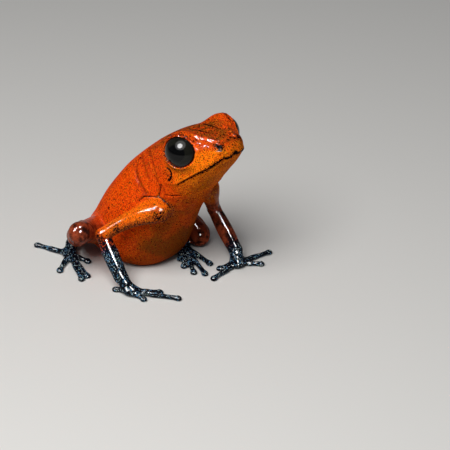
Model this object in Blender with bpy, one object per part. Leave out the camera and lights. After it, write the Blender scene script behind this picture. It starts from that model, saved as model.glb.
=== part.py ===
"""Strawberry poison dart frog, a still life-size model that sits up on a flat floor.

+X is the way the frog faces, +Y is its left and +Z is up. Named sizes are in millimetres
and are turned into metres where a mesh is made. The frog is posed with the floor at Z = 0
and X = 0 between its shoulders. An empty then carries every piece so that the origin is
the middle of the model's footprint.
"""
import math

import bmesh
import bpy
import numpy as np
from mathutils import Vector
from mathutils.bvhtree import BVHTree

MM = 0.001
GAP = 0.3
WELD = 1e-7

# Head: its pitch, the point midway between the eyes as (X, Z), and the eyeballs
HEAD_PITCH = math.radians(17.2)
EYE_MID = np.array([2.1, 13.55])
EYE_CENTRE = np.array([2.05, 2.5, 13.38])
EYE_RADIUS = 1.34
EYE_GAP = 0.24
EYE_FACING = np.array([0.3, 0.91, 0.27])
DOME_RADIUS = 1.74
DOME_SINK = 0.72
LID_RING = 1.62
LID_RADIUS = 0.2

# Sections of the head: top and bottom as (along the head, above the eyes), half width
HEAD_SECTIONS = [
    ((3.72, -0.52), (3.60, -1.24), 0.80),
    ((3.46, -0.08), (3.24, -1.66), 1.38),
    ((3.05, 0.24), (2.74, -2.04), 1.86),
    ((2.36, 0.62), (2.04, -2.54), 2.30),
    ((1.35, 0.94), (1.06, -3.16), 2.70),
    ((0.10, 1.15), (0.10, -3.80), 3.05),
    ((-1.20, 1.10), (-0.53, -4.23), 3.22),
    ((-2.70, 0.80), (-0.90, -4.60), 3.22),
]
# Sections of the torso: (X, Z) of the back, (X, Z) of the belly, half width
TORSO_SECTIONS = [
    ((-2.00, 12.60), (2.30, 8.40), 3.10),
    ((-3.25, 11.55), (2.05, 7.80), 3.00),
    ((-4.50, 10.42), (1.42, 6.90), 3.08),
    ((-5.70, 9.20), (0.60, 5.60), 3.42),
    ((-6.80, 7.80), (-0.15, 4.10), 3.82),
    ((-7.80, 6.45), (-0.85, 2.50), 4.02),
    ((-8.65, 5.10), (-1.60, 0.90), 4.05),
    ((-9.40, 3.85), (-3.00, -0.15), 3.90),
    ((-10.10, 2.80), (-5.20, -0.35), 3.50),
    ((-10.70, 1.90), (-7.60, -0.10), 2.60),
    ((-11.00, 1.25), (-9.60, 0.35), 1.20),
]
HEAD_FULLNESS = 0.74
TORSO_FULLNESS = 0.86
TRUNK_SIDES = 28
TRUNK_RINGS = 46
NECK_TOP = np.array([-1.9, 12.7])
NECK_BOTTOM = np.array([2.5, 8.75])
BLOCK = 40.0

# Face: each place as (along the head, above the eyes)
NOSTRIL = (3.0, -0.28)
NOSTRIL_RADIUS = 0.2
EARDRUM = (-1.6, -2.15)
EARDRUM_SIZE = (0.5, 0.28, 0.62)
MOUTH_SIDE = [(-1.15, -2.95), (0.0, -2.5), (1.6, -1.75), (2.7, -1.3), (3.4, -1.1)]
MOUTH_FRONT = -1.0
MOUTH_RADIUS = 0.14

# Arms: joints as (X, Y, Z), the offset that the upper arm bows by, and each finger from
# the inside out as (heading, length)
ARMS = {
    "right": {
        "shoulder": (-0.1, -3.0, 7.1),
        "upper_bow": (-0.1, 0.1, 0.27),
        "elbow": (-4.05, -6.04, 4.5),
        "wrist": (-1.7, -6.25, 1.35),
        "palm": (-0.55, -6.2, 0.45),
        "fingers": [(0, 1.55), (45, 2.5), (30, 4.2), (200, 1.45)],
    },
    "left": {
        "shoulder": (0.0, 2.9, 7.1),
        "upper_bow": (0.0, 0.0, 0.0),
        "elbow": (-1.75, 5.5, 3.4),
        "wrist": (2.15, 4.2, 1.1),
        "palm": (2.85, 3.65, 0.45),
        "fingers": [(-112, 1.7), (-87, 3.2), (45, 2.1), (80, 3.55)],
    },
}
# Legs: the thigh bows by its offset, and each toe from the inside out as (heading, length)
LEGS = {
    "right": {
        "hip": (-8.2, -1.8, 1.9),
        "thigh_bow": (0.0, 0.0, 0.0),
        "knee": (-5.3, -7.6, 4.9),
        "shank_top": (-5.9, -7.2, 4.2),
        "shank_bow": (0.0, -0.3, -0.2),
        "heel": (-11.0, -2.0, 1.0),
        "ankle": (-9.95, -4.3, 0.65),
        "palm": (-9.15, -5.4, 0.45),
        "toes": [(12, 2.0), (-20, 4.0), (-29, 4.3), (-61, 2.7), (191, 3.55)],
    },
    "left": {
        "hip": (-8.2, 1.8, 2.3),
        "thigh_bow": (0.0, 0.9, 0.5),
        "knee": (-2.1, 4.0, 1.05),
        "shank_top": (-2.6, 4.7, 1.0),
        "shank_bow": (0.0, 0.85, 0.1),
        "heel": (-9.4, 4.3, 0.9),
        "ankle": (-5.3, 3.8, 0.62),
        "palm": (-2.9, 2.65, 0.45),
        "toes": [(-52, 2.2), (-44, 3.5), (-34, 4.7), (-24, 5.2), (-8, 3.9)],
    },
}
UPPER_ARM_RADII = (1.05, 0.74, 0.58)
FOREARM_RADII = (0.57, 0.71, 0.6)
THIGH_RADII = (1.25, 1.1, 0.95)
SHANK_RADII = (0.8, 0.9, 0.55)
TARSUS_RADII = (0.55, 0.52, 0.5)
LIMB_STEPS = 4
LIMB_RESOLUTION = 4

# Hands and feet
DIGIT_RADIUS = 0.26
DIGIT_STEPS = 2
DIGIT_RESOLUTION = 2
DISC_RADIUS = 0.38
DISC_HALF_HEIGHT = 0.24
DISC_RINGS = 4
HAND_RADIUS = 0.85
SOLE_RADIUS = 0.75

# Finish of each kind of piece: colour and roughness
ORANGE_SKIN = ((0.62, 0.075, 0.012), 0.35)
BLUE_SKIN = ((0.05, 0.065, 0.11), 0.35)
BLACK_EYE = ((0.006, 0.005, 0.005), 0.08)


def clear_scene():
    """Remove whatever the scene holds."""
    for obj in list(bpy.data.objects):
        bpy.data.objects.remove(obj, do_unlink=True)


def new_collection(name):
    """A collection of its own under the scene."""
    collection = bpy.data.collections.new(name)
    bpy.context.scene.collection.children.link(collection)
    return collection


def finish(obj, colour, roughness):
    """Give a piece its own Principled material, and shade it smooth."""
    material = bpy.data.materials.new(obj.name + "_finish")
    material.use_nodes = True
    shader = material.node_tree.nodes["Principled BSDF"]
    shader.inputs["Base Color"].default_value = (*colour, 1.0)
    shader.inputs["Roughness"].default_value = roughness
    shader.inputs["Metallic"].default_value = 0.0
    obj.data.materials.clear()
    obj.data.materials.append(material)
    obj.data.shade_smooth()
    obj.data.set_sharp_from_angle(angle=math.radians(40))


def mesh_object(name, mesh, collection):
    """Turn a bmesh into an object with its faces pointing out."""
    bmesh.ops.recalc_face_normals(mesh, faces=mesh.faces)
    data = bpy.data.meshes.new(name)
    mesh.to_mesh(data)
    mesh.free()
    obj = bpy.data.objects.new(name, data)
    collection.objects.link(obj)
    return obj


def head_point(along, above):
    """World (X, Z) of a place given along the head and above the middle of the eyes."""
    forward = np.array([math.cos(HEAD_PITCH), math.sin(HEAD_PITCH)])
    upward = np.array([-math.sin(HEAD_PITCH), math.cos(HEAD_PITCH)])
    return EYE_MID + along * forward + above * upward


def smooth_rows(rows, count):
    """Resample rows of numbers along a smooth curve that passes through every row."""
    rows = np.asarray(rows, float)
    padded = np.vstack([2 * rows[0] - rows[1], rows, 2 * rows[-1] - rows[-2]])
    place = np.linspace(0, len(rows) - 1, count)
    index = np.minimum(place.astype(int), len(rows) - 2)
    t = (place - index)[:, None]
    a, b, c, d = (padded[index + step] for step in range(4))
    cubic = 3 * b - a - 3 * c + d
    square = 2 * a - 5 * b + 4 * c - d
    return 0.5 * (2 * b + (c - a) * t + square * t ** 2 + cubic * t ** 3)


def trunk_rows():
    """Back (X, Z), belly (X, Z), half width and fullness of each section, snout to vent."""
    rows = []
    for top, bottom, width in HEAD_SECTIONS:
        rows.append((*head_point(*top), *head_point(*bottom), width, HEAD_FULLNESS))
    for back, belly, width in TORSO_SECTIONS:
        rows.append((*back, *belly, width, TORSO_FULLNESS))
    return smooth_rows(rows, TRUNK_RINGS)


def section_ring(row):
    """Points round one section, an oval with full sides between the back and the belly."""
    angle = np.linspace(0, 2 * np.pi, TRUNK_SIDES, endpoint=False)
    back, belly, width, fullness = row[:2], row[2:4], row[4], row[5]
    high = np.sign(np.cos(angle)) * np.abs(np.cos(angle)) ** fullness
    wide = np.sign(np.sin(angle)) * np.abs(np.sin(angle)) ** fullness
    flat = (back + belly) / 2 + high[:, None] * (back - belly) / 2
    return np.column_stack([flat[:, 0], width * wide, flat[:, 1]])


def loft(name, rings, collection):
    """A closed body through rings of like point count, with a fan over each end."""
    sides = len(rings[0])
    mesh = bmesh.new()
    loops = [[mesh.verts.new(point * MM) for point in ring] for ring in rings]
    for near, far in zip(loops, loops[1:]):
        for side in range(sides):
            after = (side + 1) % sides
            mesh.faces.new((near[side], near[after], far[after], far[side]))
    for loop, ring in ((loops[0], rings[0]), (loops[-1], rings[-1])):
        centre = mesh.verts.new(ring.mean(axis=0) * MM)
        for side in range(sides):
            mesh.faces.new((loop[side], loop[(side + 1) % sides], centre))
    return mesh_object(name, mesh, collection)


def rounded_path(points, radii, steps):
    """A smooth path as rows of X, Y, Z and radius, closed down to a round tip at each end."""
    rows = np.column_stack([np.asarray(points, float), radii])
    rows = smooth_rows(rows, (len(rows) - 1) * steps + 1)
    tips = []
    for end, inner in ((rows[0], rows[1]), (rows[-1], rows[-2])):
        way = (end - inner)[:3] / np.linalg.norm((end - inner)[:3])
        angles = np.radians([30, 60, 82] if steps > DIGIT_STEPS else [40, 78])
        reach = end[3] * np.sin(angles)[:, None]
        tips.append(np.column_stack([end[:3] + reach * way, end[3] * np.cos(angles)]))
    return np.vstack([tips[0][::-1], rows, tips[1]])


def tube(name, points, radii, collection, steps=LIMB_STEPS, resolution=LIMB_RESOLUTION):
    """A tapering tube with round ends: a bevelled curve, made a mesh with its caps welded."""
    path = rounded_path(points, radii, steps)
    curve = bpy.data.curves.new(name + "_path", "CURVE")
    curve.dimensions = "3D"
    curve.bevel_depth = MM
    curve.bevel_resolution = resolution
    curve.use_fill_caps = True
    spline = curve.splines.new("POLY")
    spline.points.add(len(path) - 1)
    for point, row in zip(spline.points, path):
        point.co = (*(row[:3] * MM), 1.0)
        point.radius = row[3]
    source = bpy.data.objects.new(name + "_path", curve)
    collection.objects.link(source)
    graph = bpy.context.evaluated_depsgraph_get()
    data = bpy.data.meshes.new_from_object(source.evaluated_get(graph))
    mesh = bmesh.new()
    mesh.from_mesh(data)
    bmesh.ops.remove_doubles(mesh, verts=mesh.verts, dist=WELD)
    bpy.data.objects.remove(source, do_unlink=True)
    bpy.data.meshes.remove(data)
    return mesh_object(name, mesh, collection)


def ball(name, centre, radii, collection, heading=0.0, rings=8):
    """A stretched sphere whose first radius lies along a heading in the floor's plane."""
    mesh = bmesh.new()
    bmesh.ops.create_uvsphere(mesh, u_segments=2 * rings, v_segments=rings, radius=MM)
    cos, sin = math.cos(heading), math.sin(heading)
    turn = np.array([[cos, -sin, 0], [sin, cos, 0], [0, 0, 1]])
    for vert in mesh.verts:
        vert.co = turn @ (np.array(vert.co) * radii) + np.asarray(centre) * MM
    return mesh_object(name, mesh, collection)


def ring(name, centre, axis, radius, thickness, collection):
    """A round ring about an axis."""
    bpy.ops.mesh.primitive_torus_add(major_radius=radius * MM, minor_radius=thickness * MM,
                                     major_segments=20, minor_segments=6)
    obj = bpy.context.object
    mesh = bmesh.new()
    mesh.from_mesh(obj.data)
    bpy.data.objects.remove(obj, do_unlink=True)
    turn = Vector(axis).to_track_quat("Z", "Y").to_matrix()
    for vert in mesh.verts:
        vert.co = turn @ vert.co + Vector(centre) * MM
    return mesh_object(name, mesh, collection)


def block(name, centre, across, up, collection):
    """A large cube with its faces square to two directions, for a straight cut."""
    axes = np.column_stack([across, np.cross(up, across), up])
    mesh = bmesh.new()
    bmesh.ops.create_cube(mesh, size=BLOCK * MM)
    for vert in mesh.verts:
        vert.co = axes @ np.array(vert.co) + np.asarray(centre) * MM
    return mesh_object(name, mesh, collection)


def grown(source, name, collection, reach=GAP):
    """A copy of a plain body with its surface moved out, which cuts room for that body."""
    obj = bpy.data.objects.new(name, source.data.copy())
    collection.objects.link(obj)
    normals = np.array([vert.normal for vert in obj.data.vertices])
    points = np.array([vert.co for vert in obj.data.vertices])
    obj.data.vertices.foreach_set("co", (points + normals * reach * MM).ravel())
    obj.data.update()
    return obj


def open_edges(data):
    """Number of edges of a mesh that don't join exactly two faces."""
    mesh = bmesh.new()
    mesh.from_mesh(data)
    bmesh.ops.remove_doubles(mesh, verts=mesh.verts, dist=WELD)
    count = sum(1 for edge in mesh.edges if not edge.is_manifold)
    mesh.free()
    return count


def combine(obj, operation, others):
    """Join a body with a list of bodies, or cut it by them, in one Boolean step."""
    group = bpy.data.collections.new("operands")
    for other in others:
        other.hide_render = True
        other.display_type = "WIRE"
        group.objects.link(other)
    step = obj.modifiers.new(operation.title(), "BOOLEAN")
    step.operation = operation
    step.operand_type = "COLLECTION"
    step.collection = group
    for solver in ("EXACT", "MANIFOLD"):
        step.solver = solver
        graph = bpy.context.evaluated_depsgraph_get()
        data = bpy.data.meshes.new_from_object(obj.evaluated_get(graph))
        if open_edges(data) == 0:
            break
    obj.modifiers.clear()
    obj.data = data
    bpy.data.collections.remove(group)


def keep_largest(obj):
    """Keep only the largest closed surface of a body, as triangles."""
    mesh = bmesh.new()
    mesh.from_mesh(obj.data)
    bmesh.ops.remove_doubles(mesh, verts=mesh.verts, dist=WELD)
    waiting = set(mesh.faces)
    shells = []
    while waiting:
        front = [waiting.pop()]
        shell = []
        while front:
            face = front.pop()
            shell.append(face)
            around = {other for edge in face.edges for other in edge.link_faces}
            fresh = around & waiting
            waiting -= fresh
            front.extend(fresh)
        shells.append(shell)
    shells.sort(key=lambda shell: sum(face.calc_area() for face in shell))
    loose = [face for shell in shells[:-1] for face in shell]
    bmesh.ops.delete(mesh, geom=loose, context="FACES")
    bmesh.ops.triangulate(mesh, faces=mesh.faces)
    mesh.to_mesh(obj.data)
    mesh.free()


def on_face(surface, place, side):
    """Point of the head's surface straight out sideways from a place in its middle plane."""
    along, above = head_point(*place)
    start = Vector((along, side * BLOCK / 2, above)) * MM
    return np.array(surface.ray_cast(start, Vector((0, -side, 0)))[0]) / MM


def mouth_line(surface, cutters):
    """The line of the mouth, a thin tube sunk along the lips and round the snout."""
    places = smooth_rows(MOUTH_SIDE, 9)
    right = [on_face(surface, place, -1) for place in places]
    left = [point * (1, -1, 1) for point in right[::-1]]
    start = head_point(HEAD_SECTIONS[0][0][0] + 2, MOUTH_FRONT)
    way = Vector((-math.cos(HEAD_PITCH), 0, -math.sin(HEAD_PITCH)))
    front = surface.ray_cast(Vector((start[0], 0, start[1])) * MM, way)[0]
    points = right + [np.array(front) / MM] + left
    return tube("mouth_line", points, [MOUTH_RADIUS] * len(points), cutters, 1, 1)


def eye_place(side):
    """Centre and facing of the eye on one side, -1 for the right and 1 for the left."""
    mirror = np.array([1, side, 1])
    facing = EYE_FACING * mirror
    return EYE_CENTRE * mirror, facing / np.linalg.norm(facing)


def shape_face(head, cutters):
    """Add the domes over the eyes, lids and eardrums, then cut sockets, nostrils and mouth."""
    surface = BVHTree.FromPolygons([vert.co for vert in head.data.vertices],
                                   [face.vertices for face in head.data.polygons])
    raised = []
    sunk = [mouth_line(surface, cutters)]
    for side in (-1, 1):
        centre, facing = eye_place(side)
        dome = centre - facing * DOME_SINK
        raised.append(ball("eye_dome", dome, [DOME_RADIUS] * 3, cutters, rings=9))
        raised.append(ring("lids", centre, facing, LID_RING, LID_RADIUS, cutters))
        drum = on_face(surface, EARDRUM, side)
        raised.append(ball("eardrum", drum, EARDRUM_SIZE, cutters, rings=6))
        socket = [EYE_RADIUS + EYE_GAP] * 3
        sunk.append(ball("socket", centre, socket, cutters, rings=10))
        nostril = on_face(surface, NOSTRIL, side)
        sunk.append(ball("nostril", nostril, [NOSTRIL_RADIUS] * 3, cutters, rings=5))
    combine(head, "UNION", raised)
    combine(head, "DIFFERENCE", sunk)


def limb(name, start, end, radii, bow, collection):
    """One length of a limb: a tube between two joints, bowed at its middle."""
    start, end = np.array(start), np.array(end)
    middle = (start + end) / 2 + np.array(bow)
    return tube(name, [start, middle, end], radii, collection)


def paw(name, root, palm, digits, radius, collection, cutters):
    """A hand or foot: its root, a flat palm, and spread digits that end in small discs."""
    root, palm = np.array(root), np.array(palm)
    heading = math.atan2(palm[1] - root[1], palm[0] - root[0])
    obj = ball(name, palm, (radius, radius * 0.8, radius * 0.5), collection, heading)
    stem = [DIGIT_RADIUS * 2, DIGIT_RADIUS * 1.9, DIGIT_RADIUS * 1.4]
    middle = (root + palm) / 2
    pieces = [tube("stem", [root, middle, palm], stem, cutters, DIGIT_STEPS, DIGIT_RESOLUTION)]
    for turn, length in digits:
        angle = math.radians(turn)
        way = np.array([math.cos(angle), math.sin(angle), 0])
        tip = palm + way * length
        tip[2] = DISC_HALF_HEIGHT * 0.85
        knuckle = palm + way * length / 2
        knuckle[2] = DIGIT_RADIUS * 1.35
        radii = [DIGIT_RADIUS * 1.25, DIGIT_RADIUS, DIGIT_RADIUS * 0.92]
        pieces.append(tube("digit", [palm, knuckle, tip], radii, cutters, DIGIT_STEPS,
                           DIGIT_RESOLUTION))
        disc = (DISC_RADIUS, DISC_RADIUS * 0.9, DISC_HALF_HEIGHT)
        pieces.append(ball("disc", tip, disc, cutters, angle, DISC_RINGS))
    combine(obj, "UNION", pieces)
    return obj


def build_trunk(collection, cutters, floor):
    """Head and torso from one form, parted by a thin straight cut behind the jaw."""
    rings = [section_ring(row) for row in trunk_rows()]
    room = loft("trunk_form", rings, cutters)
    across = NECK_BOTTOM - NECK_TOP
    across = np.array([across[0], 0, across[1]]) / np.linalg.norm(across)
    ahead = np.cross(across, (0, 1, 0))
    middle = (NECK_TOP + NECK_BOTTOM) / 2
    middle = np.array([middle[0], 0, middle[1]])
    reach = (BLOCK - GAP) / 2
    nodes = []
    for name, way in (("head", -1), ("torso", 1)):
        obj = loft(name, rings, collection)
        if name == "head":
            shape_face(obj, cutters)
        cut = block("neck_cut", middle + ahead * way * reach, across, ahead, cutters)
        combine(obj, "DIFFERENCE", [cut, floor])
        nodes.append(obj)
    for name, side in (("eye_right", -1), ("eye_left", 1)):
        centre, facing = eye_place(side)
        nodes.append(ball(name, centre, [EYE_RADIUS] * 3, collection, rings=10))
    return nodes, grown(room, "trunk_room", cutters)


def build_arm(side, arm, collection, cutters, trunk_room, floor):
    """Upper arm, forearm and hand of one side, each cut clear of what it grows from."""
    upper = limb("upper_arm_" + side, arm["shoulder"], arm["elbow"], UPPER_ARM_RADII,
                 arm["upper_bow"], collection)
    fore = limb("forearm_" + side, arm["elbow"], arm["wrist"], FOREARM_RADII, (0, 0, 0),
                collection)
    hand = paw("hand_" + side, arm["wrist"], arm["palm"], arm["fingers"], HAND_RADIUS,
               collection, cutters)
    upper_room = grown(upper, "upper_arm_room", cutters)
    fore_room = grown(fore, "forearm_room", cutters)
    combine(upper, "DIFFERENCE", [trunk_room])
    combine(fore, "DIFFERENCE", [upper_room])
    combine(hand, "DIFFERENCE", [fore_room, floor])
    return [upper, fore, hand]


def build_leg(side, leg, collection, cutters, trunk_room, floor):
    """Thigh, shank, tarsus and foot of one side, each cut clear of what it grows from."""
    thigh = limb("thigh_" + side, leg["hip"], leg["knee"], THIGH_RADII, leg["thigh_bow"],
                 collection)
    shank = limb("shank_" + side, leg["shank_top"], leg["heel"], SHANK_RADII, leg["shank_bow"],
                 collection)
    tarsus = limb("tarsus_" + side, leg["heel"], leg["ankle"], TARSUS_RADII, (0, 0, 0),
                  collection)
    foot = paw("foot_" + side, leg["ankle"], leg["palm"], leg["toes"], SOLE_RADIUS,
               collection, cutters)
    rooms = [trunk_room, floor]
    combine_order = [(thigh, "thigh_room"), (shank, "shank_room"), (tarsus, "tarsus_room")]
    for obj, room in combine_order:
        space = grown(obj, room, cutters)
        combine(obj, "DIFFERENCE", rooms)
        rooms = rooms + [space]
    combine(foot, "DIFFERENCE", rooms)
    return [thigh, shank, tarsus, foot]


def stand_over_origin(nodes, collection):
    """Carry every node on an empty, placed so that the origin is the footprint's middle."""
    points = np.array([vert.co for obj in nodes for vert in obj.data.vertices])
    low, high = points.min(axis=0), points.max(axis=0)
    carrier = bpy.data.objects.new("frog", None)
    collection.objects.link(carrier)
    carrier.location = (-(low[0] + high[0]) / 2, -(low[1] + high[1]) / 2, -low[2])
    for obj in nodes:
        obj.parent = carrier
    return carrier


def main():
    """Build the frog node by node and set it on the floor."""
    clear_scene()
    collection = new_collection("strawberry_poison_dart_frog")
    cutters = new_collection("cutters")
    floor = block("floor_cut", (0, 0, -BLOCK / 2), (1, 0, 0), (0, 0, 1), cutters)
    nodes, trunk_room = build_trunk(collection, cutters, floor)
    for side, arm in ARMS.items():
        nodes += build_arm(side, arm, collection, cutters, trunk_room, floor)
    for side, leg in LEGS.items():
        nodes += build_leg(side, leg, collection, cutters, trunk_room, floor)
    for cutter in list(cutters.objects):
        bpy.data.objects.remove(cutter, do_unlink=True)
    for obj in nodes:
        keep_largest(obj)
        look = ORANGE_SKIN
        if obj.name.startswith("eye"):
            look = BLACK_EYE
        elif obj.name.startswith(("forearm", "hand", "shank", "tarsus", "foot")):
            look = BLUE_SKIN
        finish(obj, *look)
        print(obj.name, len(obj.data.polygons))
    carrier = stand_over_origin(nodes, collection)
    print("triangles", sum(len(obj.data.polygons) for obj in nodes))
    print("origin moved by, in mm", [round(value / MM, 3) for value in carrier.location])


main()
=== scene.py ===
# %% [markdown]
# A strawberry poison dart frog, life size: an orange-red body about 21 mm long on blue-black
# speckled limbs, sitting up with its head raised. The packed solids give every size and place.
# They could each be painted as they are, but a frog has no seams. So this file lays one unbroken
# skin over all of them, sets two wet black eyeballs in it, and adds a pale floor and soft light.

# %% Load the frame
import math

import bmesh
import bpy
import numpy as np
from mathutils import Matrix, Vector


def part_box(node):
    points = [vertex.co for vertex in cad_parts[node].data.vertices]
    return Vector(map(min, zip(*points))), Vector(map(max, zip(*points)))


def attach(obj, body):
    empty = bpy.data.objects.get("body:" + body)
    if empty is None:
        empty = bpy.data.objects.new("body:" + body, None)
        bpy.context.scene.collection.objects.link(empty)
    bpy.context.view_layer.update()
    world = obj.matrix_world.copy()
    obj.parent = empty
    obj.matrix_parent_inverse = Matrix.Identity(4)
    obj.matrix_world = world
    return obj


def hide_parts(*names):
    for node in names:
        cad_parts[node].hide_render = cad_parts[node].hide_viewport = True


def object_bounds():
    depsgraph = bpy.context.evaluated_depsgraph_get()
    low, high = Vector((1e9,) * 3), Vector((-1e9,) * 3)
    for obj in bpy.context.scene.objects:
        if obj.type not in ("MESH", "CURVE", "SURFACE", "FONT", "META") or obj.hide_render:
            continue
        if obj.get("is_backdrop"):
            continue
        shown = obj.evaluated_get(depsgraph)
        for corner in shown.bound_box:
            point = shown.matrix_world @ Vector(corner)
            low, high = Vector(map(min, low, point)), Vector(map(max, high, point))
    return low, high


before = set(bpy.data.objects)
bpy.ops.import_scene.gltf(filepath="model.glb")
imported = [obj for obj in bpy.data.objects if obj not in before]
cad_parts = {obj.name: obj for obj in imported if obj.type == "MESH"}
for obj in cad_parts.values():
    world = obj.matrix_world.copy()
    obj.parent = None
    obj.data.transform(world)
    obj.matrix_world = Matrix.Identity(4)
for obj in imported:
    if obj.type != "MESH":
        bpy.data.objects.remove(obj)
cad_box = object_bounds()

import openvdb
from mathutils import Vector
from mathutils.bvhtree import BVHTree

MM = 0.001
cad_size = cad_box[1] - cad_box[0]
print("nodes", len(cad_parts), "size in mm", [round(side / MM, 2) for side in cad_size])

# %% [markdown]
# The frog was drawn in millimetres with the floor at Z = 0 and X = 0 between its shoulders, and
# the solids were then moved so that their origin is the middle of the footprint. The eyeball is
# a plain ball in both, so the difference between its two places is the move. Everything below
# is worked out in the drawing's millimetres and moved at the end.

# %% From the drawing to the frame
EYE_CENTRE = np.array([2.05, 2.5, 13.38])
eye_low, eye_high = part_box("eye_right")
shift = np.array((eye_low + eye_high) / 2) / MM - EYE_CENTRE * (1, -1, 1)


def to_frame(places):
    """Drawing millimetres to metres in the frame: add the move, then scale."""
    return (np.asarray(places, float) + shift) * MM


print("move in mm", shift.round(3))

# %% [markdown]
# The camera comes early, because it fixes what can be compared. The photograph looks down on
# the frog by 29 degrees from its front right. At the near shoulder one millimetre of frog
# covers 11.7 pixels of a 450 pixel picture, which with the distance gives the lens.

# %% Camera
AZIMUTH, ELEVATION = math.radians(43), math.radians(29)
CAMERA_DISTANCE = 170.0
PICTURE = 450
PIXELS_PER_MM = 11.7
SENSOR = 36.0
CLIP_NEAR, CLIP_FAR = 0.01, 10
NEAR_SHOULDER = np.array([0.0, -2.9, 7.1])
NEAR_SHOULDER_PIXEL = (161, 211)
view_right = np.array([math.cos(AZIMUTH), math.sin(AZIMUTH), 0])
view_back = np.array([math.sin(AZIMUTH) * math.cos(ELEVATION),
                      -math.cos(AZIMUTH) * math.cos(ELEVATION), math.sin(ELEVATION)])
view_up = np.cross(view_back, view_right)
off_right = (PICTURE / 2 - NEAR_SHOULDER_PIXEL[0]) / PIXELS_PER_MM
off_down = (PICTURE / 2 - NEAR_SHOULDER_PIXEL[1]) / PIXELS_PER_MM
aim = NEAR_SHOULDER + off_right * view_right - off_down * view_up
camera_place = aim + CAMERA_DISTANCE * view_back


def look_from(obj, place, target):
    """Put a camera or light at a place, both in metres, with its -Z axis on the target."""
    obj.location = place
    way = Vector(target) - Vector(place)
    obj.rotation_euler = way.to_track_quat("-Z", "Y").to_euler()


camera = bpy.data.objects.new("camera", bpy.data.cameras.new("camera"))
bpy.context.scene.collection.objects.link(camera)
camera.data.sensor_width = SENSOR
camera.data.lens = PIXELS_PER_MM * CAMERA_DISTANCE / PICTURE * SENSOR
camera.data.clip_start, camera.data.clip_end = CLIP_NEAR, CLIP_FAR
look_from(camera, to_frame(camera_place), to_frame(aim))
bpy.context.scene.camera = camera
print("lens in mm", round(camera.data.lens, 1))

# %% [markdown]
# Every form of the body is a surface on a grid of two numbers: how far along it we are, and how
# far round. It could be modelled by hand from a cube instead, but a grid can be worked out, so
# it can be measured and changed. A smooth curve through a few rows of sizes gives as many rings
# as the form needs, so the list of sizes stays short.

# %% Rows and grids


def smooth_rows(rows, count):
    """Rows resampled along a Catmull-Rom curve: between two rows the value is a cubic whose
    slope at each row is half the difference of that row's two neighbours."""
    rows = np.asarray(rows, float)
    padded = np.vstack([2 * rows[0] - rows[1], rows, 2 * rows[-1] - rows[-2]])
    place = np.linspace(0, len(rows) - 1, count)
    index = np.minimum(place.astype(int), len(rows) - 2)
    t = (place - index)[:, None]
    a, b, c, d = (padded[index + step] for step in range(4))
    cubic = 3 * b - a - 3 * c + d
    square = 2 * a - 5 * b + 4 * c - d
    return 0.5 * (2 * b + (c - a) * t + square * t ** 2 + cubic * t ** 3)


def grid_faces(rings, sides):
    """Four-sided faces of a grid of rings that closes round its sides."""
    ring, side = np.meshgrid(np.arange(rings - 1), np.arange(sides), indexing="ij")
    after = (side + 1) % sides
    corners = (ring * sides + side, ring * sides + after,
               (ring + 1) * sides + after, (ring + 1) * sides + side)
    return np.stack(corners, axis=-1).reshape(-1, 4)


print("three sizes smoothed to five", smooth_rows([[0], [1], [4]], 5).ravel())

# %% [markdown]
# Two shapes do for all of the limbs, hands and eyes: a round tube that follows a path with a
# radius that changes along it, as a leg does with its muscles, and a ball stretched three ways.

# %% Tubes and balls
END_TURNS = np.radians([15, 30, 45, 60, 75, 90])
OFF_ALL_LIMBS = (0.31, 0.22, 0.92)
POLE_GAP = 0.02


def along_path(places, radii, sides=28, steps=12):
    """A round tube with round ends: a circle of the path's radius, square to the path, carried
    along it, and at each end drawn in as the cosine while it moves on as the sine."""
    rows = smooth_rows(np.column_stack([places, radii]), (len(places) - 1) * steps + 1)
    ends = []
    for end, inner in ((rows[0], rows[1]), (rows[-1], rows[-2])):
        way = (end - inner)[:3] / np.linalg.norm((end - inner)[:3])
        reach = end[3] * np.sin(END_TURNS)[:, None] * way
        ends.append(np.column_stack([end[:3] + reach, end[3] * np.cos(END_TURNS)]))
    path = np.vstack([ends[0][::-1], rows, ends[1]])
    way = np.gradient(path[:, :3], axis=0)
    way /= np.linalg.norm(way, axis=1)[:, None]
    fixed = np.cross(path[-1, :3] - path[0, :3], OFF_ALL_LIMBS)
    across = np.cross(way, fixed)
    across /= np.linalg.norm(across, axis=1)[:, None]
    over = np.cross(way, across)
    angle = np.linspace(0, 2 * np.pi, sides, endpoint=False)[None, :, None]
    circle = np.cos(angle) * across[:, None] + np.sin(angle) * over[:, None]
    surface = path[:, None, :3] + path[:, None, 3:] * circle
    return surface.reshape(-1, 3), grid_faces(len(path), sides)


def rounded(centre, radii, heading=0.0, rings=24, sides=36):
    """A stretched ball: sines and cosines of two angles times three radii, turned by a heading
    about the vertical. Its first and last rings are a hair's breadth from the poles."""
    polar, round_it = np.meshgrid(np.linspace(POLE_GAP, np.pi - POLE_GAP, rings),
                                  np.linspace(0, 2 * np.pi, sides, endpoint=False), indexing="ij")
    x = np.sin(polar) * np.cos(round_it) * radii[0]
    y = np.sin(polar) * np.sin(round_it) * radii[1]
    z = np.cos(polar) * radii[2]
    cos, sin = math.cos(heading), math.sin(heading)
    surface = np.stack([x * cos - y * sin, x * sin + y * cos, z], axis=-1).reshape(-1, 3)
    return surface + np.asarray(centre, float), grid_faces(rings, sides)


print("faces of a tube", len(along_path([(0, 0, 0), (1, 0, 0)], [1, 1])[1]),
      "and of a ball", len(rounded((0, 0, 0), (1, 1, 1))[1]))

# %% [markdown]
# The head and torso are one form, from the snout to the vent. Each section is an oval between a
# point of the back and a point of the belly, fuller at its sides than an ellipse. The head's
# sections are given along the head and above the eyes, because the head is pitched up.

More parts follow.
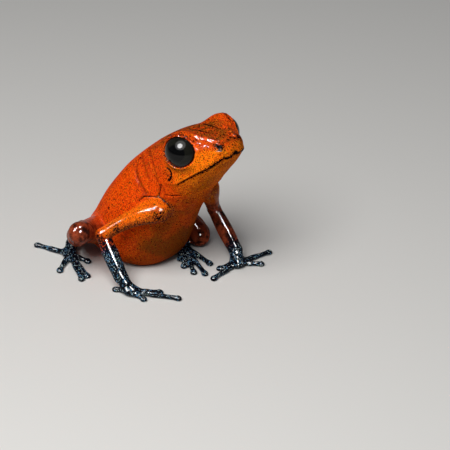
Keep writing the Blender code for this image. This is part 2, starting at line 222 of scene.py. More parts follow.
# %% Sections of the head and torso
HEAD_PITCH = math.radians(17.2)
EYE_MID = np.array([2.1, 13.55])
HEAD_SECTIONS = [
    ((3.72, -0.52), (3.60, -1.24), 0.80),
    ((3.46, -0.08), (3.24, -1.66), 1.38),
    ((3.05, 0.24), (2.74, -2.04), 1.86),
    ((2.36, 0.62), (2.04, -2.54), 2.30),
    ((1.35, 0.94), (1.06, -3.16), 2.70),
    ((0.10, 1.15), (0.10, -3.80), 3.05),
    ((-1.20, 1.10), (-0.53, -4.23), 3.22),
    ((-2.70, 0.80), (-0.90, -4.60), 3.22),
]
TORSO_SECTIONS = [
    ((-2.00, 12.60), (2.30, 8.40), 3.10),
    ((-3.25, 11.55), (2.05, 7.80), 3.00),
    ((-4.50, 10.42), (1.42, 6.90), 3.08),
    ((-5.70, 9.20), (0.60, 5.60), 3.42),
    ((-6.80, 7.80), (-0.15, 4.10), 3.82),
    ((-7.80, 6.45), (-0.85, 2.50), 4.02),
    ((-8.65, 5.10), (-1.60, 0.90), 4.05),
    ((-9.40, 3.85), (-3.00, -0.15), 3.90),
    ((-10.10, 2.80), (-5.20, -0.35), 3.50),
    ((-10.70, 1.90), (-7.60, -0.10), 2.60),
    ((-11.00, 1.25), (-9.60, 0.35), 1.20),
]
HEAD_FULLNESS, TORSO_FULLNESS = 0.74, 0.86
print("sections of the head and torso", len(HEAD_SECTIONS), len(TORSO_SECTIONS))

# %% The trunk's surface
head_forward = np.array([math.cos(HEAD_PITCH), 0, math.sin(HEAD_PITCH)])
head_up = np.array([-math.sin(HEAD_PITCH), 0, math.cos(HEAD_PITCH)])


def head_point(along, above):
    """Drawing X and Z of a place given along the pitched head and above the eyes."""
    return EYE_MID + along * head_forward[[0, 2]] + above * head_up[[0, 2]]


def trunk(rings=150, sides=120):
    """Ovals carried from the snout to the vent: the cosine of the angle round it, raised to the
    fullness, goes from belly to back, and the sine goes out sideways."""
    rows = [(*head_point(*top), *head_point(*underside_shade), width, HEAD_FULLNESS)
            for top, underside_shade, width in HEAD_SECTIONS]
    rows += [(*back, *belly, width, TORSO_FULLNESS) for back, belly, width in TORSO_SECTIONS]
    rows = smooth_rows(rows, rings)
    rows = np.vstack([rows[:1], rows, rows[-1:]])
    for end in (0, -1):
        middle = (rows[end, :2] + rows[end, 2:4]) / 2
        rows[end, :4] = [*middle, *middle]
        rows[end, 4] = 0
    angle = np.linspace(0, 2 * np.pi, sides, endpoint=False)[None]
    fullness = rows[:, 5:6]
    high = np.sign(np.cos(angle)) * np.abs(np.cos(angle)) ** fullness
    wide = np.sign(np.sin(angle)) * np.abs(np.sin(angle)) ** fullness
    x = (rows[:, 0:1] + rows[:, 2:3]) / 2 + high * (rows[:, 0:1] - rows[:, 2:3]) / 2
    z = (rows[:, 1:2] + rows[:, 3:4]) / 2 + high * (rows[:, 1:2] - rows[:, 3:4]) / 2
    surface = np.stack([x, rows[:, 4:5] * wide, z], axis=-1).reshape(-1, 3)
    return surface, grid_faces(len(rows), sides)


print("trunk faces", len(trunk()[1]))

# %% [markdown]
# Skin has no seams, but separate surfaces do where they cross. They could be joined with
# Booleans, which leave a hard crease, or remeshed, which keeps that crease. Instead each
# surface is measured into one block of numbers: at every point of a fine lattice, how far away
# the surface is, negative inside. Two such distances blend with one formula, and the place
# where the result is zero is a single skin with a soft fold of any width at each join.

# %% Distances on a lattice
PITCH = 0.12
BAND = 11
REACH = BAND * PITCH
EDGE_OF_REACH = 0.95 * REACH
# The block's lowest corner and its size are counted in steps of the pitch.
lattice_low = np.array([-13.4, -9.6, -0.7])
lattice_high = np.array([7.8, 9.4, 16.6])
first = np.floor(lattice_low / PITCH).astype(int)
count = np.ceil(lattice_high / PITCH).astype(int) - first
body = np.full(count, REACH, np.float32)
lattice = openvdb.createLinearTransform(voxelSize=PITCH)
print("lattice", body.shape)


def measured(surface):
    """The distance to a closed surface at the lattice points round it, and their window."""
    places, faces = surface
    low = np.maximum(np.floor(places.min(axis=0) / PITCH).astype(int) - BAND - 1, first)
    high = np.minimum(np.ceil(places.max(axis=0) / PITCH).astype(int) + BAND + 2, first + count)
    grid = openvdb.FloatGrid.createLevelSetFromPolygons(
        places.astype(np.float32), quads=faces.astype(np.uint32), transform=lattice,
        halfWidth=float(BAND))
    block = np.full(high - low, REACH, np.float32)
    grid.copyToArray(block, ijk=tuple(int(v) for v in low))
    window = tuple(slice(a, b) for a, b in zip(low - first, high - first))
    return block, window, low


def lattice_points(window, low):
    """Drawing coordinates of the lattice points of a window, as three arrays that broadcast."""
    axes = [(low[k] + np.arange(window[k].stop - window[k].start)) * PITCH for k in range(3)]
    return np.meshgrid(*axes, indexing="ij", sparse=True)


# %% Join and carve
TRUNK_FOLD = 0.3


def join(surface, fold, near=None, near_fold=None, spread=1.0):
    """Blend a surface into the body. Where the two distances differ by less than the fold, the
    smaller is lowered by the square of what is left over four folds, a round inner corner. The
    fold may change to another width near one point."""
    block, window, low = measured(surface)
    old = body[window]
    width = fold
    if near is not None:
        x, y, z = lattice_points(window, low)
        away = np.sqrt((x - near[0]) ** 2 + (y - near[1]) ** 2 + (z - near[2]) ** 2) / spread
        ease = np.clip(2 - away, 0, 1)
        width = fold + (near_fold - fold) * ease * ease * (3 - 2 * ease)
    left = np.maximum(width - np.abs(old - block), 0)
    nearer = np.minimum(old, block)
    body[window] = np.where(nearer < EDGE_OF_REACH, nearer - left * left / (4 * width), nearer)


def carve(surface, fold):
    """Take a surface's inside out of the body, with the edge rounded the same way."""
    block, window, low = measured(surface)
    old, block = body[window], -block
    left = np.maximum(fold - np.abs(old - block), 0)
    body[window] = np.maximum(old, block) + left * left / (4 * fold)


join(trunk(), TRUNK_FOLD)
print("points inside the trunk", int((body < 0).sum()))

# %% [markdown]
# The arms reach straight down in front, and the hind legs fold flat against the body. Each
# joint and each finger has its place in the drawing, and each length of limb has the radii of
# its muscles. A finger is a heading, in degrees from straight ahead, and a length.

# %% Sizes of the limbs
ARMS = {
    "right": {
        "shoulder": (-0.1, -3.0, 7.1), "elbow": (-4.05, -6.04, 4.5), "bow": (-0.1, 0.1, 0.27),
        "wrist": (-1.7, -6.25, 1.35), "palm": (-0.55, -6.2, 0.45),
        "fingers": [(0, 1.55), (45, 2.5), (30, 4.2), (200, 1.45)],
    },
    "left": {
        "shoulder": (0.0, 2.9, 7.1), "elbow": (-1.75, 5.5, 3.4), "bow": (0.0, 0.0, 0.0),
        "wrist": (2.15, 4.2, 1.1), "palm": (2.85, 3.65, 0.45),
        "fingers": [(-112, 1.7), (-87, 3.2), (45, 2.1), (80, 3.55)],
    },
}
LEGS = {
    "right": {
        "hip": (-8.2, -1.8, 1.9), "thigh_bow": (0.0, 0.0, 0.0), "knee": (-5.3, -7.6, 4.9),
        "shank_top": (-5.9, -7.2, 4.2), "shank_bow": (0.0, -0.3, -0.2),
        "heel": (-11.0, -2.0, 1.0), "ankle": (-9.95, -4.3, 0.65), "palm": (-9.15, -5.4, 0.45),
        "toes": [(12, 2.0), (-20, 4.0), (-29, 4.3), (-61, 2.7), (191, 3.55)],
    },
    "left": {
        "hip": (-8.2, 1.8, 2.3), "thigh_bow": (0.0, 0.9, 0.5), "knee": (-2.1, 4.0, 1.05),
        "shank_top": (-2.6, 4.7, 1.0), "shank_bow": (0.0, 0.85, 0.1),
        "heel": (-9.4, 4.3, 0.9), "ankle": (-5.3, 3.8, 0.62), "palm": (-2.9, 2.65, 0.45),
        "toes": [(-52, 2.2), (-44, 3.5), (-34, 4.7), (-24, 5.2), (-8, 3.9)],
    },
}
UPPER_ARM_RADII = (1.05, 0.92, 0.74, 0.64, 0.58)
FOREARM_RADII = (0.57, 0.66, 0.71, 0.68, 0.6)
THIGH_RADII = (1.25, 1.28, 1.15, 1.0, 0.95)
SHANK_RADII = (0.8, 0.95, 0.9, 0.72, 0.55)
TARSUS_RADII = (0.55, 0.5, 0.46, 0.48, 0.5)
HAND_RADIUS, SOLE_RADIUS = 0.85, 0.75
DIGIT_RADIUS = 0.225
DISC = (0.34, 0.32, 0.21)
print("fingers", [len(arm["fingers"]) for arm in ARMS.values()],
      "toes", [len(leg["toes"]) for leg in LEGS.values()])

# %% [markdown]
# A limb is a tube for each length of bone. Hands and feet are a flat palm, and four fingers or
# five toes with soft knuckles and the small round discs that this frog climbs with. The fold
# is wide where a limb grows out of the body and narrow where it only lies against it.

# %% Limbs, hands and feet
SHOULDER_FOLD, HIP_FOLD, ELBOW_FOLD, KNEE_FOLD, HEEL_FOLD = 0.16, 0.7, 0.25, 0.5, 0.4
LYING_FOLD, WRIST_FOLD, PALM_FOLD = 0.1, 0.3, 0.4
DIGIT_FOLD, DISC_FOLD, SCUTE_FOLD = 0.28, 0.14, 0.04
HIP_SPREAD = 1.6
WRIST_RADII = (0.52, 0.5, 0.4)
PALM_SHAPE = np.array([1.0, 0.8, 0.46])
PAINTED_PALM = (0.75, 0.1)
KNUCKLES = np.array([0, 0.3, 0.52, 0.76, 1.0])
KNUCKLE_RADII = DIGIT_RADIUS * np.array([1.3, 1.0, 1.14, 0.9, 0.96])
DROP_AT, DROP_TO = (0.4, 1), (DIGIT_RADIUS * 1.3, DIGIT_RADIUS * 0.9)
DISC_MIDDLE_HEIGHT = DISC[2] * 0.8
SCUTE = (0.16, 0.11, 0.09)
SCUTE_ASIDE, SCUTE_BACK, SCUTE_ABOVE = 0.13, 0.03, 0.14
limb_paths = []


def bowed(start, end, bow=(0, 0, 0), count=5):
    """Points from start to end, bowed by an offset that is greatest at the middle."""
    start, end, bow = (np.asarray(v, float) for v in (start, end, bow))
    t = np.linspace(0, 1, count)[:, None]
    return start + (end - start) * t + bow * 4 * t * (1 - t)


def limb(places, radii, along, fold, *near, spread=1.0, sides=28, steps=12):
    """Join one round length of a limb, and note its path, radii and how far along the whole
    limb its two ends lie, for the colours."""
    join(along_path(places, radii, sides, steps), fold, *near, spread=spread)
    limb_paths.append((np.asarray(places, float), np.asarray(radii, float), along))


def digit(palm, heading, length, along):
    """A finger or toe: a path that drops from the palm to the floor, thick at its two
    knuckles, then a flat disc with a pair of small scutes on top."""
    angle = math.radians(heading)
    way = np.array([math.cos(angle), math.sin(angle), 0])
    path = palm + way * length * KNUCKLES[:, None]
    path[:, 2] = np.interp(KNUCKLES, (0, *DROP_AT), (palm[2], *DROP_TO))
    limb(path, KNUCKLE_RADII, (along, along + 1), DIGIT_FOLD, sides=18, steps=6)
    tip = palm + way * length
    tip[2] = DISC_MIDDLE_HEIGHT
    join(rounded(tip, DISC, angle), DISC_FOLD)
    across = np.array([-way[1], way[0], 0])
    for side in (-1, 1):
        scute = tip + across * side * SCUTE_ASIDE - way * SCUTE_BACK + (0, 0, SCUTE_ABOVE)
        join(rounded(scute, SCUTE, angle, rings=12, sides=16), SCUTE_FOLD)


def paw(root, palm, digits, radius, along):
    """A hand or foot: the root runs into a flat palm, and the digits spread from it."""
    root, palm = np.array(root), np.array(palm)
    heading = math.atan2(palm[1] - root[1], palm[0] - root[0])
    limb([root, (root + palm) / 2, palm], WRIST_RADII, (along, along), WRIST_FOLD)
    join(rounded(palm, radius * PALM_SHAPE, heading), PALM_FOLD)
    share, beyond = PAINTED_PALM
    palm_path = np.array([root, palm, palm + (palm - root) * beyond])
    palm_radii = np.array([WRIST_RADII[1], radius * share, radius * share])
    limb_paths.append((palm_path, palm_radii, (along, along)))
    for turn, length in digits:
        digit(palm, turn, length, along)


print("knuckle radii", KNUCKLE_RADII.round(2))

# %% [markdown]
# Now they are joined, one length after another. Each length also notes how far along its limb
# it lies, which the colours will ask for. Along an arm 0 is the shoulder, 1 the elbow and 2 the
# hand. Along a leg 10 is the hip, 11 the knee, 12 the heel and 13 the foot. Digits run on by one.

# %% Join the limbs
for arm in ARMS.values():
    limb(bowed(arm["shoulder"], arm["elbow"], arm["bow"]), UPPER_ARM_RADII, (0, 1),
         LYING_FOLD, arm["shoulder"], SHOULDER_FOLD)
    limb(bowed(arm["elbow"], arm["wrist"]), FOREARM_RADII, (1, 2), ELBOW_FOLD)
    paw(arm["wrist"], arm["palm"], arm["fingers"], HAND_RADIUS, 2)
for leg in LEGS.values():
    limb(bowed(leg["hip"], leg["knee"], leg["thigh_bow"]), THIGH_RADII, (10, 11),
         LYING_FOLD, leg["hip"], HIP_FOLD, spread=HIP_SPREAD)
    limb(bowed(leg["shank_top"], leg["heel"], leg["shank_bow"]), SHANK_RADII, (11, 12),
         LYING_FOLD, leg["knee"], KNEE_FOLD)
    limb(bowed(leg["heel"], leg["ankle"]), TARSUS_RADII, (12, 13), LYING_FOLD,
         leg["heel"], HEEL_FOLD)
    paw(leg["ankle"], leg["palm"], leg["toes"], SOLE_RADIUS, 13)
print("lengths of limb", len(limb_paths))

# %% [markdown]
# The eyes stand out of the head on low domes, each a ball under a thin cap of skin. The cap
# could be cut with a plane, but a frog's opening is an oval. So an oval rod, pointing the way
# the eye faces, carves a well down into the dome where the eyeball will show, and a thin roll of
# lid is laid along the edge of the well.

# %% Eye domes and lids
EYE_RADIUS = 1.52
EYE_PLACE = np.array([2.18, 2.38, 13.43])
LID_LINE_RADIUS = EYE_RADIUS + 0.03
LID_RADIUS = EYE_RADIUS + 0.05
DOME_RADIUS = EYE_RADIUS + 0.14
OPENING_WIDE, OPENING_HIGH = 1.48, 1.36
FACINGS = {"right": (0.3, -0.91, 0.27), "left": (0.18, 0.96, 0.17)}
LID_ROLL, LID_SIDES = 0.11, 14
ROD_REACH, ROD_WIDTH = (0.2, 0.2, 1.2, 2.2, 2.2), (0, 1, 1, 1, 0)
DOME_FOLD, WELL_FOLD, LID_FOLD = 0.6, 0.05, 0.08


def eye_axes(facing):
    """Three directions of an eye: forward along the head, up, and the way it faces."""
    forward = np.cross(facing, (0, 0, 1)) * -np.sign(facing[1])
    forward /= np.linalg.norm(forward)
    up = np.cross(forward, facing) * -np.sign(facing[1])
    return forward, up / np.linalg.norm(up), facing


def lid_line(centre, facing, radius, count=96):
    """The oval of the opening laid on a ball: cosine and sine times its half width and half
    height, and the rest of the radius along the way the eye faces."""
    forward, up, out = eye_axes(facing)
    turn = np.linspace(0, 2 * np.pi, count + 1)[:, None]
    wide, high = OPENING_WIDE * np.cos(turn), OPENING_HIGH * np.sin(turn)
    ahead = np.sqrt(radius ** 2 - wide ** 2 - high ** 2)
    return centre + forward * wide + up * high + out * ahead


def lid(centre, facing):
    """A small circle carried along the line of the lid, square to it and to the ball."""
    line = lid_line(centre, facing, LID_RADIUS)
    out = (line - centre) / np.linalg.norm(line - centre, axis=1)[:, None]
    way = np.gradient(line, axis=0)
    way[[0, -1]] = line[1] - line[-2]
    across = np.cross(way, out)
    across /= np.linalg.norm(across, axis=1)[:, None]
    small = np.linspace(0, 2 * np.pi, LID_SIDES, endpoint=False)[None, :, None]
    circle = np.cos(small) * out[:, None] + np.sin(small) * across[:, None]
    surface = line[:, None] + LID_ROLL * circle
    return surface.reshape(-1, 3), grid_faces(len(line), LID_SIDES)


def opening(centre, facing, sides=64):
    """An oval rod from the middle of the ball outwards: cosine and sine times the half width
    and half height of the opening, at each of a few steps along the way the eye faces."""
    forward, up, out = eye_axes(facing)
    turn = np.linspace(0, 2 * np.pi, sides, endpoint=False)[None, :, None]
    reach, width = (np.array(values)[:, None, None] for values in (ROD_REACH, ROD_WIDTH))
    oval = OPENING_WIDE * np.cos(turn) * forward + OPENING_HIGH * np.sin(turn) * up
    surface = centre + reach * out + width * oval
    return surface.reshape(-1, 3), grid_faces(len(ROD_REACH), sides)


print("lid of radius", LID_ROLL, "round an opening of", 2 * OPENING_WIDE, "by", 2 * OPENING_HIGH)

# %% Join the domes and cut the openings
eyes = {}
for name, facing in FACINGS.items():
    mirror = (1, np.sign(facing[1]), 1)
    eyes[name] = (EYE_PLACE * mirror, np.array(facing) / np.linalg.norm(facing))
for centre, facing in eyes.values():
    join(rounded(centre, [DOME_RADIUS] * 3), DOME_FOLD)
for centre, facing in eyes.values():
    carve(opening(centre, facing), WELL_FOLD)
    join(lid(centre, facing), LID_FOLD)
print("eyes", list(eyes), "domes of radius", round(DOME_RADIUS, 2))

# %% [markdown]
# The floor cuts small flats under the feet and belly. Then the zero surface of the block comes
# out as one mesh of four-sided faces. Bits that float free are dropped, and the largest shell
# is the skin. Its volume tells which way its faces point: a negative one means inwards.

# %% Take the skin out of the block
lattice_height = (first[2] + np.arange(count[2])) * PITCH
body = np.maximum(body, -lattice_height[None, None, :].astype(np.float32))
skin_grid = openvdb.FloatGrid(REACH)
skin_grid.transform = lattice
skin_grid.copyFromArray(np.ascontiguousarray(body), ijk=tuple(int(v) for v in first))
points, _, quads = skin_grid.convertToPolygons(isovalue=0.0, adaptivity=0.0)
points, quads = np.asarray(points, float), np.asarray(quads, np.int64)


def largest_shell(places, faces):
    """Spread the lowest label over shared corners until nothing changes, and keep the faces
    of the commonest label."""
    label = np.arange(len(places))
    while True:
        low = label[faces].min(axis=1)
        spread = label.copy()
        np.minimum.at(spread, faces.ravel(), np.repeat(low, faces.shape[1]))
        spread = np.minimum(spread, spread[spread])
        if (spread == label).all():
            break
        label = spread
    names, sizes = np.unique(label[faces[:, 0]], return_counts=True)
    faces = faces[label[faces[:, 0]] == names[sizes.argmax()]]
    used, renumbered = np.unique(faces, return_inverse=True)
    return places[used], renumbered.reshape(faces.shape)


def volume(places, faces):
    """Signed volume of a closed mesh: a sixth of the sum of each triangle's triple product."""
    total = 0.0
    for corner in (1, 2):
        a, b, c = places[faces[:, 0]], places[faces[:, corner]], places[faces[:, corner + 1]]
        total += np.einsum("ij,ij->i", a, np.cross(b, c)).sum() / 6
    return total


points, quads = largest_shell(points, quads)
if volume(points, quads) < 0:
    quads = quads[:, ::-1]
print("skin quads", len(quads), "volume in mm3", round(volume(points, quads), 1))

# %% [markdown]
# The lines of the face, the folds of the neck and throat, the lobe of skin over the shoulder and
# the larger black dots were read from the photograph, as pixels. A pixel is only a direction
# from the camera, so each one is carried on to the skin, where its place is then the same from
# any side. They could be painted on a picture instead, but that would fit from one side only.

# %% Lines read from the picture
MOUTH_PIXELS = [(177.3, 185.3), (183.5, 181.6), (190, 178.3), (197, 174.6), (203, 171.6),
                (208.7, 169), (213, 166), (216.7, 163.7), (221, 160.6), (224.7, 159),
                (230, 157.6), (235.3, 156.3), (239, 154), (241.5, 152)]
EARDRUM_PIXELS = [(167.3, 168.3), (170, 170.3), (171.3, 174.3), (170.7, 178.3), (168.5, 180.5)]
EARDRUM_MIDDLE_PIXEL = (166, 174)
ELBOW_PIXELS = [(117, 230), (99, 238), (98.5, 244)]
NOSTRIL_PIXEL = (219.1, 146.6)
RIDGE_PIXELS = [(195.5, 135.6), (201, 137.4), (207, 138.8), (213, 140.4), (218.5, 142.4)]
FOLD_PIXELS = [[(139, 201), (142, 198), (145, 196.5), (151, 196.8), (158, 197), (160, 190),
                (161, 184)],
               [(158, 197), (162, 199.5), (165.5, 202)],
               [(166, 195), (172, 196), (180, 195.5), (190, 193)]]
LOBE_PIXELS = [(165.5, 202), (169, 205.5), (170.6, 210), (169.6, 215.5), (165, 220), (158, 223),
               (150, 224)]
NECK_FOLD_PIXELS = [[(148.8, 150), (151.2, 156.4), (152.8, 164.4), (155.2, 174), (157, 181)],
                    [(141.6, 156), (144, 166), (148, 178)],
                    [(138, 161), (136, 172), (140, 183), (145.5, 193)]]
DOME_LINE_PIXELS = [(202.7, 123.7), (207.3, 125), (212.7, 126.3), (218, 128.7)]
DOT_PIXELS = [(134, 165), (138, 163), (127, 169), (109, 208), (184.9, 169.4), (140, 158),
              (170.6, 135.4), (172.4, 134.2), (174.2, 133), (176.4, 134.6), (179, 133.6),
              (182, 134.6), (171.4, 137.2), (186, 136.4), (193.4, 140.6), (227.6, 139.4),
              (231, 137), (234.4, 138.2)]
print("lines and dots read", 6 + len(FOLD_PIXELS) + len(NECK_FOLD_PIXELS), len(DOT_PIXELS))

# %% Carry the lines on to the skin
MIDLINE = -0.35
AHEAD_OF_SNOUT = (7, -1.05)
tree = BVHTree.FromPolygons(points.tolist(), quads.tolist())


def seen_at(pixels):
    """The first place of the skin on the ray from the camera through each pixel."""
    found = []
    for across, down in pixels:
        way = (across - PICTURE / 2) * view_right - (down - PICTURE / 2) * view_up
        way = way / (PIXELS_PER_MM * CAMERA_DISTANCE) - view_back
        hit = tree.ray_cast(Vector(camera_place), Vector(way).normalized())[0]
        if hit is not None:
            found.append(hit)
    return np.array(found)


def line_on_skin(pixels_or_places, step=0.12):
    """A smooth line through places, with a point about every step, each set on the skin. Places
    of two numbers are pixels, and are carried on to the skin first."""
    places = np.asarray(pixels_or_places)
    if places.shape[1] == 2:
        places = seen_at(places)
    length = np.linalg.norm(np.diff(places, axis=0), axis=1).sum()
    line = smooth_rows(places, max(int(length / step), 4))
    return np.array([tree.find_nearest(Vector(place))[0] for place in line])


mouth_side = seen_at(MOUTH_PIXELS)
mouth_side = mouth_side[mouth_side[:, 1] < MIDLINE]
ahead = head_point(*AHEAD_OF_SNOUT)
snout = np.array(tree.ray_cast(Vector((ahead[0], 0, ahead[1])), Vector(-head_forward))[0])
mouth = line_on_skin(np.vstack([mouth_side, snout]))
eardrum, ridge, lobe, dome_line = (
    line_on_skin(pixels)
    for pixels in (EARDRUM_PIXELS, RIDGE_PIXELS, LOBE_PIXELS, DOME_LINE_PIXELS))
folds = [line_on_skin(pixels) for pixels in FOLD_PIXELS]
neck_folds = [line_on_skin(pixels) for pixels in NECK_FOLD_PIXELS]
eardrum_middle, nostril = seen_at([EARDRUM_MIDDLE_PIXEL, NOSTRIL_PIXEL])
dots, elbow_corners = seen_at(DOT_PIXELS), seen_at(ELBOW_PIXELS)
near_lid = lid_line(*eyes["right"], LID_LINE_RADIUS)
print("mouth corner", mouth[0].round(2), "snout", snout.round(2), "nostril", nostril.round(2))
print("eardrum", eardrum_middle.round(2), "ridge", ridge[0].round(2), ridge[-1].round(2))

# %% [markdown]
# Whatever shapes or paints a line needs to know how far each point of the skin is from it, and a
# few soft steps turn that distance into a share from 0 to 1. The head is alike on both sides, so
# each point is compared with the lines after its own Y is folded over to the near side.

# %% Distances to a line
FAR = 1.6


def nearest(spots, line):
    """Distance to a line and the nearest place on it. On each stretch that place is at the share
    of it that a dot product gives, held between 0 and 1. Past FAR no distance is worked out."""
    away, place = np.full(len(spots), FAR), np.array(spots, float)
    close = np.all((spots > line.min(axis=0) - FAR) & (spots < line.max(axis=0) + FAR), axis=1)
    near = spots[close]
    found, found_place = np.full(len(near), FAR), near.copy()
    for start, end in zip(line, line[1:]):
        way = end - start
        share = np.clip((near - start) @ way / (way @ way), 0, 1)[:, None]
        candidate = start + way * share
        distance = np.linalg.norm(near - candidate, axis=1)
        better = distance < found
        found[better], found_place[better] = distance[better], candidate[better]
    away[close], place[close] = found, found_place
    return away, place


def to_lines(spots, *lines):
    """The distance to the nearest of some lines."""
    return np.min([nearest(spots, line)[0] for line in lines], axis=0)


def to_places(spots, *places):
    """The distance to the nearest of some places."""
    return np.min([np.linalg.norm(spots - place, axis=1) for place in places], axis=0)


def folded(spots):
    """The same places with every Y turned to the near, negative side."""
    return spots * (1, 0, 1) - np.abs(spots) * (0, 1, 0)


def bell(distance, width):
    """1 at zero, falling to nothing over about twice the width: e to minus the square."""
    return np.exp(-(distance / width) ** 2)


def step_up(value, low, high):
    """0 at low and 1 at high, held beyond them, and between them the smooth cubic of three
    squares less two cubes. With low above high it is a fall."""
    t = np.clip((value - low) / (high - low), 0, 1)
    return t * t * (3 - 2 * t)


print("bell at 0, 1 and 2 widths", bell(np.arange(3), 1).round(2))

# %% [markdown]
# The lattice is too coarse for a mouth line a tenth of a millimetre wide. A finer lattice would
# put small faces everywhere, so only the faces near a line are divided, once.

# %% Divide the faces near the lines
FINE_NEAR_LINES, FINE_NEAR_PITS = 0.4, 0.65


def divided(places, faces, chosen):
    """Halve every edge between chosen points, then make all faces triangles."""
    data = bpy.data.meshes.new("dividing")
    data.from_pydata(places.tolist(), [], faces.tolist())
    mesh = bmesh.new()
    mesh.from_mesh(data)
    edges = [edge for edge in mesh.edges if all(chosen[vert.index] for vert in edge.verts)]
    bmesh.ops.subdivide_edges(mesh, edges=edges, cuts=1, use_grid_fill=True)
    bmesh.ops.triangulate(mesh, faces=mesh.faces)
    mesh.to_mesh(data)
    mesh.free()
    fresh = np.empty(len(data.vertices) * 3)
    data.vertices.foreach_get("co", fresh)
    corners = np.empty(len(data.loops), np.int32)
    data.loops.foreach_get("vertex_index", corners)
    bpy.data.meshes.remove(data)
    return fresh.reshape(-1, 3), corners.reshape(-1, 3)


sided = folded(points)
fine = to_lines(sided, mouth, eardrum, ridge[-2:], lobe, *folds, near_lid) < FINE_NEAR_LINES
fine |= to_places(sided, nostril, eardrum_middle) < FINE_NEAR_PITS
points, triangles = divided(points, quads, fine)
print("skin triangles", len(triangles))

# %% [markdown]
# The mouth cuts in under a fuller upper lip, a ridge runs from the eye to the nostril over a
# shallow hollow, folds press in between soft swellings, and the eardrum is a dish with a raised
# rim. These could be carved on the lattice, but it is too coarse for them. So each point moves
# along its own normal, by the sum of a bell curve of its distance from each line.

# %% Lips, folds, nostrils and eardrums
# Each bell: how far the skin moves out, at what distance from the line, and over what width.
BELLS = {
    "mouth": [(-0.1, 0, 0.06)],
    "nostril": [(-0.12, 0, 0.1), (0.03, 0.22, 0.08)],
    "drum": [(-0.05, 0, 0.3), (0.035, 0.48, 0.09)],
    "eardrum": [(-0.07, 0, 0.07)],
    "ridge": [(0.13, 0, 0.17)],
    "hollow": [(-0.08, 0, 0.26)],
    "folds": [(-0.09, 0, 0.07), (0.03, 0.2, 0.1)],
    "neck": [(-0.1, 0, 0.17), (0.04, 0.4, 0.16)],
    "lobe": [(-0.1, 0, 0.09)],
}
HOLLOW_BELOW_RIDGE = 0.62
UPPER_LIP, LIP_ABOVE, LIP_WIDTH = 0.05, 0.17, 0.13
LOWER_JAW, JAW_EDGE, JAW_TOP, JAW_END = -0.07, 0.12, 0.2, 1.1
NEAR_MOUTH = FAR * 0.98


def normals_of(places, faces):
    """Point normals: the sum of the cross products of the triangles round each point."""
    a, b, c = (places[faces[:, corner]] for corner in range(3))
    face = np.cross(b - a, c - a)
    total = np.zeros_like(places)
    for corner in range(3):
        np.add.at(total, faces[:, corner], face)
    return total / np.linalg.norm(total, axis=1)[:, None]


print("bells", sum(len(bells) for bells in BELLS.values()))

# %% Move the skin
# The line over the eye dome was read on the far side, so it is turned to the near one.
sided = folded(points)
to_mouth, on_mouth = nearest(sided, mouth)
away = {
    "mouth": to_mouth,
    "nostril": to_places(sided, nostril),
    "drum": to_places(sided, eardrum_middle),
    "eardrum": to_lines(sided, eardrum),
    "ridge": to_lines(sided, ridge),
    "hollow": to_lines(sided, ridge - HOLLOW_BELOW_RIDGE * head_up),
    "folds": to_lines(sided, *folds),
    "neck": to_lines(sided, *neck_folds),
    "lobe": to_lines(sided, lobe),
    "dome": to_lines(sided, dome_line * (1, -1, 1)),
    "lids": to_lines(sided, near_lid),
}
over_mouth = (sided - on_mouth) @ head_up
move = UPPER_LIP * bell(over_mouth - LIP_ABOVE, LIP_WIDTH) * (over_mouth > 0)
move += LOWER_JAW * step_up(-over_mouth, 0, JAW_EDGE) * step_up(-over_mouth, JAW_END, JAW_TOP)
move *= to_mouth < NEAR_MOUTH
for name, bells in BELLS.items():
    for out_by, distance, width in bells:
        move += out_by * bell(away[name] - distance, width)
points = points + normals_of(points, triangles) * move[:, None]
points[:, 2] = np.maximum(points[:, 2], 0)
print("moved by", move.min().round(3), "to", move.max().round(3), "mm")

# %% [markdown]
# The colours follow the body, so each point of the skin is told where it lies. First the limbs:
# how far along one it is decides whether it is orange, brown or blue-black; the brown is the
# legs' own, and on the far upper arm it is painted shade. A picture wrapped on the skin could
# say so too, but its seams would show, and numbers held by the points have none.

# %% Marks along the limbs
# Each pair: how far along a limb a colour is still 0, and how far along it is 1.
NOWHERE = (90, 91)
ALONG_BLUE = {"arm": (0.85, 1.75), "far arm": (1.7, 2.15), "leg": (11.8, 12.8)}
# The brown on the far upper arm is painted shade; on the hind legs it is their own.
ALONG_BROWN_AND_SHADE = {"arm": NOWHERE, "far arm": (0.0, 0.6), "leg": (10.3, 11.0)}
ALONG_HAND = {"arm": (1.7, 2.1), "far arm": (1.7, 2.1), "leg": (12.7, 13.1)}
ARM_ORANGE = (1.2, 0.8)
LIMB_SURFACE = (-0.45, -0.05)
LEGS_START = 5
LIMB_MARGIN = 0.6


def along_limbs(spots):
    """How far each place is from the surface of the nearest limb, and how far along it."""
    away, along = np.full(len(spots), FAR), np.zeros(len(spots))
    for path, radii, ends in limb_paths:
        rows = np.column_stack([path, radii, np.linspace(*ends, len(path))])
        rows = smooth_rows(rows, 2 * len(path))
        margin = radii.max() + LIMB_MARGIN
        inside = (spots > path.min(axis=0) - margin) & (spots < path.max(axis=0) + margin)
        close = np.all(inside, axis=1).nonzero()[0]
        near = spots[close]
        for start, end in zip(rows, rows[1:]):
            way = (end - start)[:3]
            share = np.clip((near - start[:3]) @ way / (way @ way), 0, 1)
            row = start + (end - start) * share[:, None]
            distance = np.linalg.norm(near - row[:, :3], axis=1) - row[:, 3]
            better = distance < away[close]
            away[close[better]] = distance[better]
            along[close[better]] = row[better, 4]
    return away, along


limb_away, limb_along = along_limbs(points)
on_limb = step_up(-limb_away, *LIMB_SURFACE)
is_arm = limb_along < LEGS_START
is_far = points[:, 1] > 0


def rise_along(ranges):
    """A rise from 0 to 1 between two places along each kind of limb, and 0 off the limbs."""
    kinds = [is_arm & is_far, is_arm]
    low, high = (np.select(kinds, [ranges["far arm"][k], ranges["arm"][k]], ranges["leg"][k])
                 for k in range(2))
    return step_up(limb_along, low, high) * on_limb


